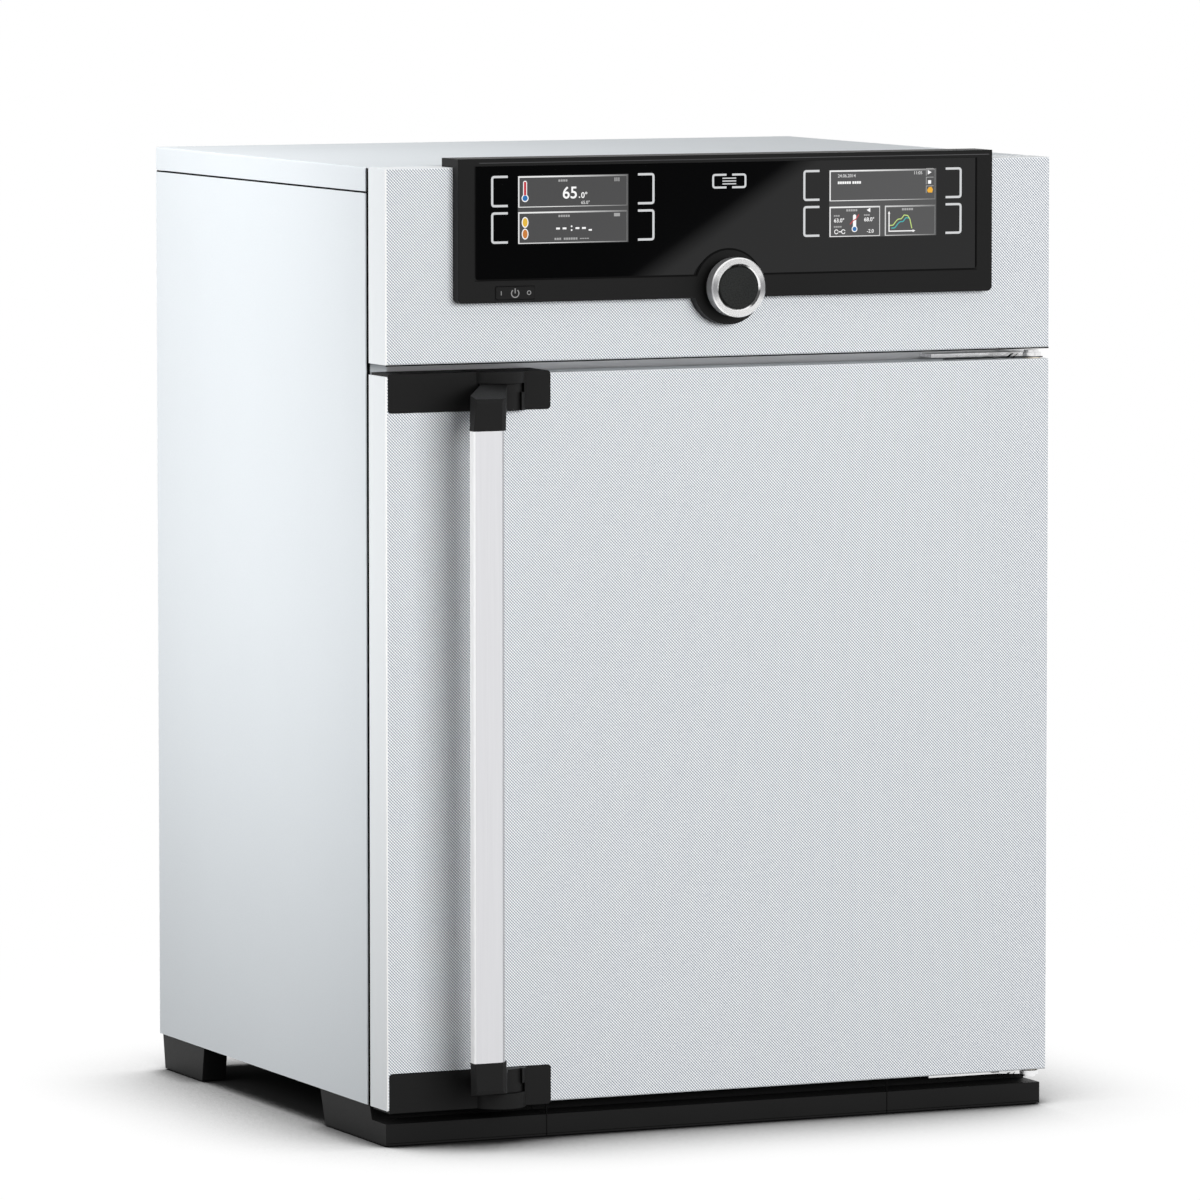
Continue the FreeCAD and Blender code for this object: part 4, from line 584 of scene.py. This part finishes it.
GLASS_X, UPPER_GLASS, LOWER_GLASS = 6.2, 733.2, 724.0
CURVE = [(53.9, 724.6), (57.0, 724.8), (59.8, 728.2), (61.6, 729.6), (64.4, 729.8),
         (66.8, 732.8), (70.0, 732.4), (72.0, 729.6), (73.8, 722.0)]
CURVE_LINE, AXIS_LINE = 0.8, 0.9
TILE_LEFT, TILE_RIGHT, TILE_FLOORS = 86.4, 93.2, (764.2, 757.2, 750.2)
SCREEN_ART = {"left": (
    ("left_screen_white", "screen_white", [
        (thermometer, GLASS_X, 766.4, 17.4),
        (oval, GLASS_X, UPPER_GLASS, 2.9, 4.3, ART), (oval, GLASS_X, LOWER_GLASS, 2.9, 4.3, ART),
        *((bar, x, x + 3.3, 727.1, 728.6, ART) for x in (33.0, 38.6, 49.8, 55.4)),
        (disc, 46.4, 726.4, 0.72, ART), (disc, 46.4, 729.4, 0.72, ART),
        (bar, 61.2, 64.0, 725.6, 726.9, ART)]),
    ("left_screen_grey_marks", "screen_soft_white", [
        (blocks, 83.6, 764.4, 3, 0.9, 3.0, 0.8), (blocks, 35.0, 764.9, 4),
        (blocks, 35.0, 736.9, 5), (bar, 83.2, 88.4, 736.6, 739.2, ART),
        (blocks, 31.6, 718.8, 3), (blocks, 39.6, 718.8, 6), (blocks, 53.6, 719.2, 4, 1.6, 0.8)]),
    ("left_screen_red", "screen_red", [(bar, 5.2, 7.2, 754.6, 765.2, ON_ART)]),
    ("left_screen_blue", "screen_blue", [(disc, 6.2, 752.3, 2.2, ON_ART)]),
    ("left_screen_yellow", "screen_yellow", [(oval, GLASS_X, UPPER_GLASS, 2.1, 3.5, ON_ART)]),
    ("left_screen_orange", "screen_orange", [(oval, GLASS_X, LOWER_GLASS, 2.1, 3.5, ON_ART)]),
    ("left_screen_value", "screen_white", [(numerals, "65", 13.2, 38.4, 751.6, ART)]),
    ("left_screen_decimals", "screen_white", [(numerals, "0°", 6.4, 54.6, 751.7, ART)]),
    ("left_screen_point", "screen_white", [(disc, 53.2, 752.3, 0.6, ART)]),
    ("left_screen_set_value", "screen_pale_white", [
        (numerals, "65.0°", 3.6, 54.6, 746.9, ART)]),
), "right": (
    ("right_screen_white", "screen_white", [
        (blocks, 7.6, 758.7, 6, 1.6, 2.0, 0.4), (blocks, 20.6, 758.7, 4, 1.6, 2.0, 0.4),
        (prism, [(88.0, 765.0), (91.4, 766.8), (88.0, 768.6)], ON_ART),
        (bar, 88.2, 91.0, 757.6, 760.4, ON_ART),
        (prism, [(33.4, 737.4), (36.6, 735.6), (36.6, 739.2)], ART),
        (thermometer, 22.6, 734.4, 14.8),
        (stroke, [(53.4, 734.4), (53.4, 720.0), (75.0, 720.0)], AXIS_LINE, ART),
        (prism, [(52.3, 734.0), (54.5, 734.0), (53.4, 736.2)], ART),
        (prism, [(74.6, 718.9), (76.9, 720.0), (74.6, 721.1)], ART),
        (stroke, arc(6.4, 720.4, 1.6, 20, 340, 20), 0.6, ART),
        (stroke, arc(12.6, 720.4, 1.6, 20, 340, 20), 0.6, ART),
        (bar, 8.4, 10.8, 720.0, 720.8, ART)]),
    ("right_screen_grey_marks", "screen_soft_white", [
        (blocks, 15.2, 736.6, 5), (blocks, 65.0, 736.6, 5), (blocks, 4.2, 732.6, 3, 1.4, 1.2, 0.4),
        (blocks, 31.0, 732.8, 3, 1.4, 1.2, 0.4), (blocks, 4.2, 723.8, 4, 1.4, 1.2, 0.4),
        *((bar, TILE_LEFT, TILE_RIGHT, z + 5.4, z + 5.9, ART) for z in TILE_FLOORS),
        *((bar, TILE_LEFT, TILE_LEFT + 0.5, z, z + 5.4, ART) for z in TILE_FLOORS)]),
    ("right_screen_amber", "screen_amber", [(prism, [
        (88.2, 750.6), (92.0, 750.4), (92.6, 753.0), (91.2, 755.2), (88.8, 754.6),
        (87.4, 752.4)], ON_ART)]),
    ("right_screen_blue", "screen_blue", [(disc, 22.6, 722.4, 1.8, ON_ART)]),
    ("right_screen_red", "screen_red", [(stroke, [
        (18.6, 726.2), (21.4, 729.2), (23.8, 730.2), (26.4, 734.0)], CURVE_LINE, ON_ART)]),
    ("right_screen_green", "screen_green", [
        (stroke, rounded_path(CURVE, 0.5), CURVE_LINE, ON_ART)]),
    ("right_screen_cyan", "screen_cyan", [
        (stroke, rounded_path([(x + 1.6, z - 2.2) for x, z in CURVE[:7]], 0.5), CURVE_LINE,
         ART)]),
    ("right_screen_date", "screen_pale_white", [
        (numerals, "24.06.2014", 3.6, 7.6, 764.0, ART)]),
    ("right_screen_time", "screen_pale_white", [(numerals, "11:05", 3.6, 75.2, 765.4, ART)]),
    ("right_screen_low_limit", "screen_white", [(numerals, "63.0°", 4.4, 4.2, 728.0, ART)]),
    ("right_screen_high_limit", "screen_white", [(numerals, "68.0°", 4.4, 31.0, 728.4, ART)]),
    ("right_screen_step", "screen_white", [(numerals, "-2.0", 4.0, 33.6, 719.2, ART)]),
)}
for side, rows in SCREEN_ART.items():
    for name, ink, shapes in rows:
        add_piece(name, shapes, INKS[ink], shift=SCREEN_LEFT[side])

# The printed marks on the main switch, glowing with painted light: a bar, the open ring with its
# stroke, and a small ring.
switch = middle("main_switch_button")
switch_face = front_of("main_switch_button")
ON_SWITCH = (switch_face, switch_face - 0.04)
add_piece("switch_marks", [
    (stroke, arc(switch.x, switch.z - 0.3, 3.2, 128, 412, 28), 0.8, ON_SWITCH),
    (bar, switch.x - 0.4, switch.x + 0.4, switch.z - 0.3, switch.z + 3.6, ON_SWITCH),
    (bar, switch.x - 12.3, switch.x - 11.7, switch.z - 1.6, switch.z + 1.6, ON_SWITCH),
    (stroke, arc(switch.x + 12.0, switch.z, 1.5, 90, 445, 28), 0.6, ON_SWITCH)],
    lit("switch_mark_glow", grey(0.20), base=0.6), "main_switch")


# Painted shade: dark strips laid in the seams between the sheets and along the plinth, where these
# lie in shadow.
def add_gap_shades(name, shapes):
    add_piece(name, shapes, GAP_SHADE)


SIDES = (-1, 1)
PROUD = 0.05
INSET = 1.0
FRONT_SEAM, FRONT_SEAM_DEPTH = 2.6, 0.5
LID_SEAM_BELOW, LID_SEAM_ABOVE, LID_SEAM_SHORT = 0.7, 0.5, 1.5
PANEL_SEAM, PANEL_SEAM_SHORT, PANEL_SEAM_PROUD = 0.9, 0.3, 0.02
PLINTH_SEAM, PLINTH_LINE, PLINTH_LINE_RISE = 1.0, 0.5, 1.6
side_low, side_high = edges("left_side_panel")
half_width, lid_top = -side_low.x, edges("top_cover")[1].z
add_gap_shades("front_seam_shade", [
    (slab, side * (half_width - INSET), side * (half_width - INSET - FRONT_SEAM),
     side_low.y - FRONT_SEAM_DEPTH, side_low.y, side_low.z, lid_top - INSET)
    for side in SIDES])
add_gap_shades("lid_seam_shade", [
    (slab, side * (half_width - INSET), side * (half_width + PROUD), side_low.y,
     side_high.y - LID_SEAM_SHORT, side_high.z - LID_SEAM_BELOW, side_high.z + LID_SEAM_ABOVE)
    for side in SIDES])
panel_low, panel_high = edges("control_panel_shell")
add_gap_shades("panel_edge_shade", [
    (slab, panel_low.x + PANEL_SEAM_SHORT, panel_high.x - PANEL_SEAM_SHORT,
     panel_low.y - PANEL_SEAM_PROUD, panel_low.y + INSET, panel_low.z - PANEL_SEAM,
     panel_low.z)])
plinth_low, plinth_high = edges("front_plinth")
foot_low, foot_high = edges("front_right_foot")
plinth_joint = (plinth_high.x + foot_low.x) / 2
line_floor = plinth_low.z + PLINTH_LINE_RISE
add_gap_shades("plinth_seam_shade", [
    *((slab, side * plinth_joint - PLINTH_SEAM / 2, side * plinth_joint + PLINTH_SEAM / 2,
       plinth_low.y - PROUD, plinth_low.y + INSET, plinth_low.z + 0.2, plinth_high.z - 0.1)
      for side in SIDES),
    (slab, INSET - foot_high.x, foot_high.x - INSET, plinth_low.y - PROUD,
     plinth_low.y + PLINTH_LINE, line_floor, line_floor + PLINTH_LINE)])

# The door's sheet is cut square round the latch housings. These fill its corners round.
LATCH_CORNER, LATCH_GAP = 3.0, 0.3
door_face = front_of("door_outer_panel")
for name, up in (("upper", -1), ("lower", 1)):
    low, high = edges(name + "_latch_housing")
    level = low.z - LATCH_GAP if up < 0 else high.z + LATCH_GAP
    add_piece(name + "_corner_fills", [
        (spandrel, x, level, right, up, LATCH_CORNER, (door_face + INSET, door_face))
        for x, right in ((low.x - LATCH_GAP, -1), (high.x + LATCH_GAP, 1))],
        MATERIALS["patterned_steel"], "door")

# Painted shade in the groove round the glass, with a lobe over the control, and a painted
# highlight on the line above the glass.
LOBE, GROOVE, SIDE_GROOVE, GLASS_CORNER = 29.8, 1.4, 0.9, 3.4
glass_low, glass_high = edges("cockpit_glass")
GLASS_SIDES = ((-1, glass_low.x), (1, glass_high.x))
IN_GROOVE, AT_CORNER = (GLASS_FRONT, BEZEL_FRONT - 0.03), (GLASS_FRONT, BEZEL_FRONT - 0.04)
lobe_start = math.degrees(math.asin((glass_low.z - KNOB_Z) / LOBE))
add_gap_shades("groove_shade_round_glass", [
    (stroke, [(glass_low.x, glass_low.z), *arc(0, KNOB_Z, LOBE, 180 - lobe_start, lobe_start, 40),
              (glass_high.x, glass_low.z)], GROOVE, IN_GROOVE)])
add_gap_shades("side_groove_shades_by_glass", [
    (bar, *sorted((edge, edge - side * SIDE_GROOVE)), glass_low.z, glass_high.z, IN_GROOVE)
    for side, edge in GLASS_SIDES])
add_piece("glass_corner_fills", [
    (spandrel, edge, glass_low.z, side, -1, GLASS_CORNER, AT_CORNER)
    for side, edge in GLASS_SIDES], MATERIALS["black_moulding"])
add_piece("bezel_highlight_painted", [
    (bar, glass_low.x + 4, glass_high.x + 11, glass_high.z + 2.4, glass_high.z + 2.9,
     (BEZEL_FRONT, BEZEL_FRONT - PROUD))],
    lit("bezel_highlight_glow", grey(0.055, 0.002), base=0.5))

# The adjusting screws on the hinge arms, then painted shade: dark lines where the arms are
# joggled and a dark strip in the gap under the upper arm.
ARM_SHEET = 3.0
ADJUSTER_X, ADJUSTER_BACK = 249.8, 4.0
ADJUSTER_PROFILE = ((3.4, 0.0), (3.6, 0.5), (3.3, 1.0), (1.6, 1.3))
JOGGLE_LINES, JOGGLE_RUN = ((255.4, 2.4), (261.4, 1.0)), 4.6
SHADE_REACH, SHADE_DEPTH, SHADE_HEIGHT = (199.0, 289.0), (0.3, 2.0), 0.7
ROUND = 24


def adjuster(bm, y, level, step):
    """A turned screw head that grows from a level, up or down by the sign of step."""
    rings = []
    for radius, drop in ADJUSTER_PROFILE:
        rings.append([bm.verts.new((x * MM, across * MM, (level + drop * step) * MM))
                      for x, across in arc(ADJUSTER_X, y, radius, 0, 345, ROUND - 1)])
    for lower, upper in zip(rings, rings[1:]):
        for k in range(ROUND):
            following = (k + 1) % ROUND
            bm.faces.new((lower[k], lower[following], upper[following], upper[k]))
    bm.faces.new(rings[0])
    bm.faces.new(rings[-1])


arm_face = front_of("upper_hinge_arm")
for name, step in (("upper", -1), ("lower", 1)):
    arm_floor = edges(name + "_hinge_arm")[0].z
    level = arm_floor if step < 0 else arm_floor + ARM_SHEET
    add_piece(name + "_hinge_adjuster", [(adjuster, arm_face + ADJUSTER_BACK, level, step)],
              MATERIALS["plated_steel"])
    low, high = sorted((level, level - ARM_SHEET * step))
    lines = [(prism, [(x, low), (x + width, low), (x + width + JOGGLE_RUN, high),
                      (x + JOGGLE_RUN, high)], (arm_face, arm_face - PROUD))
             for x, width in JOGGLE_LINES]
    if step < 0:
        lines.append((slab, *SHADE_REACH, *(arm_face + depth for depth in SHADE_DEPTH),
                      level - SHADE_HEIGHT, level))
    add_piece(name + "_painted_joggle_shade", lines, GAP_SHADE)

# The blades of the power inlet and the contacts of the network socket.
SOCKET_WALL, SOCKET_FLANGE = 2.0, 3.0
BLADES = ((-7.0, -1.5), (0.0, 2.0), (7.0, -1.5))
BLADE_HALF_WIDTH, BLADE_HALF_HEIGHT, BLADE_SUNK = 1.0, 3.2, 6.0
CONTACTS, CONTACT_PITCH, CONTACT_HALF_WIDTH, CONTACT_SUNK = 8, 1.4, 0.35, 4.0
CONTACT_DROP = (1.6, 1.0)
inlet_low, inlet_high = edges("power_inlet")
inlet = middle("power_inlet")
add_piece("power_inlet_blades", [
    (slab, inlet.x + across - BLADE_HALF_WIDTH, inlet.x + across + BLADE_HALF_WIDTH,
     inlet_low.y + SOCKET_WALL, inlet_high.y - BLADE_SUNK,
     inlet.z + rise - BLADE_HALF_HEIGHT, inlet.z + rise + BLADE_HALF_HEIGHT)
    for across, rise in BLADES], MATERIALS["plated_steel"])
socket_low, socket_high = edges("network_socket")
socket_top = socket_high.z - SOCKET_FLANGE - SOCKET_WALL
contacts = []
for index in range(CONTACTS):
    x = middle("network_socket").x + (index - (CONTACTS - 1) / 2) * CONTACT_PITCH
    contacts.append((slab, x - CONTACT_HALF_WIDTH, x + CONTACT_HALF_WIDTH,
                     socket_low.y + SOCKET_WALL, socket_high.y - CONTACT_SUNK,
                     *(socket_top - drop for drop in CONTACT_DROP)))
add_piece("network_socket_contacts", contacts, GOLD)

# The camera, fitted to corners of the casing and the door in the photo.
YAW, PITCH = math.radians(24.161), math.radians(5.133)
FOCAL_PIXELS, PHOTO_PIXELS, SENSOR = 8860.29, 1200.0, 36.0
camera = bpy.data.objects.new("camera", bpy.data.cameras.new("camera"))
bpy.context.collection.objects.link(camera)
camera.location = (-2.98702, -6.64707, 1.06228)
forward = Vector((math.sin(YAW) * math.cos(PITCH), math.cos(YAW) * math.cos(PITCH),
                  -math.sin(PITCH)))
camera.rotation_mode = "QUATERNION"
camera.rotation_quaternion = forward.to_track_quat("-Z", "Y")
camera.data.sensor_width = SENSOR
camera.data.lens = FOCAL_PIXELS * SENSOR / PHOTO_PIXELS
camera.data.clip_start, camera.data.clip_end = 0.1, 60.0
bpy.context.scene.camera = camera

# A surround that looks white and lights the object at a lower level.
SKY = 0.36
world = bpy.data.worlds.new("studio")
bpy.context.scene.world = world
surround = Wiring(world)
surround.fill(surround.tree.nodes["Background"], {
    "Color": WHITE, "Strength": surround.span(surround.seen_directly(), 0, 1, SKY, 1.0)})


# How far the floor looks for cover, and where its glow starts to rise towards the edge.
FAR_COVER, NEAR_COVER = 0.22, 0.03
FLOOR_RISE = (0.5, 1.1)


def add_floor():
    """A glowing white floor with a painted shadow under the object, from how much of the sky it
    sees.
    """
    floor = new_look("floor")
    distance = floor.node("VectorMath", {0: floor.place()}, operation="LENGTH").outputs["Value"]
    away = floor.span(distance, *FLOOR_RISE)
    far, near = (floor.node("AmbientOcclusion", {"Distance": reach}, samples=12).outputs["AO"]
                 for reach in (FAR_COVER, NEAR_COVER))
    # Painted shadow: the glow dims where the object hides the sky, within a far and a near reach.
    wide = floor.math("POWER", floor.span(far, 0.93, 0.41), 1.55)
    light = floor.math("MULTIPLY", floor.math("SUBTRACT", 1.0, wide),
                       floor.span(near, 0.45, 0.9, 0.2, 1.0))
    shown = floor.seen_directly()
    color = floor.mix(shown, grey(0.06), floor.mix(away, grey(0.03), grey(0.0)))
    glow = floor.math("MULTIPLY", floor.span(away, 0, 1, 0.985, 1.0), light)
    floor.shade({"Base Color": color, "Roughness": 0.9, "Specular IOR Level": 0.0,
                 "Emission Color": WHITE, "Emission Strength": floor.math(
                     "MULTIPLY", shown, glow)})
    bm = bmesh.new()
    bmesh.ops.create_grid(bm, x_segments=4, y_segments=4, size=30)
    new_object("floor", bm, floor.owner)


add_floor()

# Each lamp's place, aim, width, height and power.
LAMPS = {
    "front_light": ((0.35, -3.65, 1.2), (0.0, -0.23, 0.45), 2.3, 1.2, 121.5),
    "left_light": ((-0.85, 0.06, 0.43), (-0.2925, 0.06, 0.43), 0.8, 0.4, 2.65),
    "top_light": ((-0.75, 0.12, 1.2), (-0.2, 0.12, 0.75), 0.4, 0.6, 4.1),
    "rear_light": ((2.2, 2.0, 0.75), (0.0, 0.0, 0.45), 1.6, 1.2, 55.0),
}
for name, (spot, target, width, height, power) in LAMPS.items():
    data = bpy.data.lights.new(name, "AREA")
    data.shape = "RECTANGLE"
    data.size, data.size_y = width, height
    data.energy = power
    lamp = bpy.data.objects.new(name, data)
    bpy.context.collection.objects.link(lamp)
    lamp.location = spot
    lamp.rotation_mode = "QUATERNION"
    lamp.rotation_quaternion = (Vector(target) - Vector(spot)).to_track_quat("-Z", "Y")
    lamp.visible_camera = lamp.visible_glossy = False

FLAG_Y = -2.51
FLAG_LEFT, FLAG_RIGHT, FLAG_LOW, FLAG_TOP = 0.60, 1.40, 0.42, 0.80
FLAG_EDGE, FLAG_SLOPE, FLAG_SOFT = (1.020, 0.5946), 1.557, 0.020


def add_flag():
    """A dark card that only mirrors see. The glass mirrors its slanting soft edge."""
    card = new_look("flag")
    x, y, z = card.split(card.place())
    slant = card.math("MULTIPLY", card.math("SUBTRACT", z, FLAG_EDGE[1]), FLAG_SLOPE)
    across = card.math("SUBTRACT", card.math("SUBTRACT", x, FLAG_EDGE[0]), slant)
    card.shade({"Base Color": grey(0.0), "Roughness": 1.0, "Specular IOR Level": 0.0,
                "Emission Color": WHITE, "Emission Strength": card.span(
                    across, -FLAG_SOFT, FLAG_SOFT, 0.02, 1.0)})
    bm = bmesh.new()
    bm.faces.new([bm.verts.new((x, FLAG_Y, z)) for x, z in (
        (FLAG_LEFT, FLAG_LOW), (FLAG_RIGHT, FLAG_LOW), (FLAG_RIGHT, FLAG_TOP),
        (FLAG_LEFT, FLAG_TOP))])
    item = new_object("flag", bm, card.owner)
    item.visible_camera = item.visible_diffuse = item.visible_shadow = False
    item.visible_transmission = item.visible_volume_scatter = False


add_flag()

bpy.context.scene.view_settings.view_transform = "Standard"
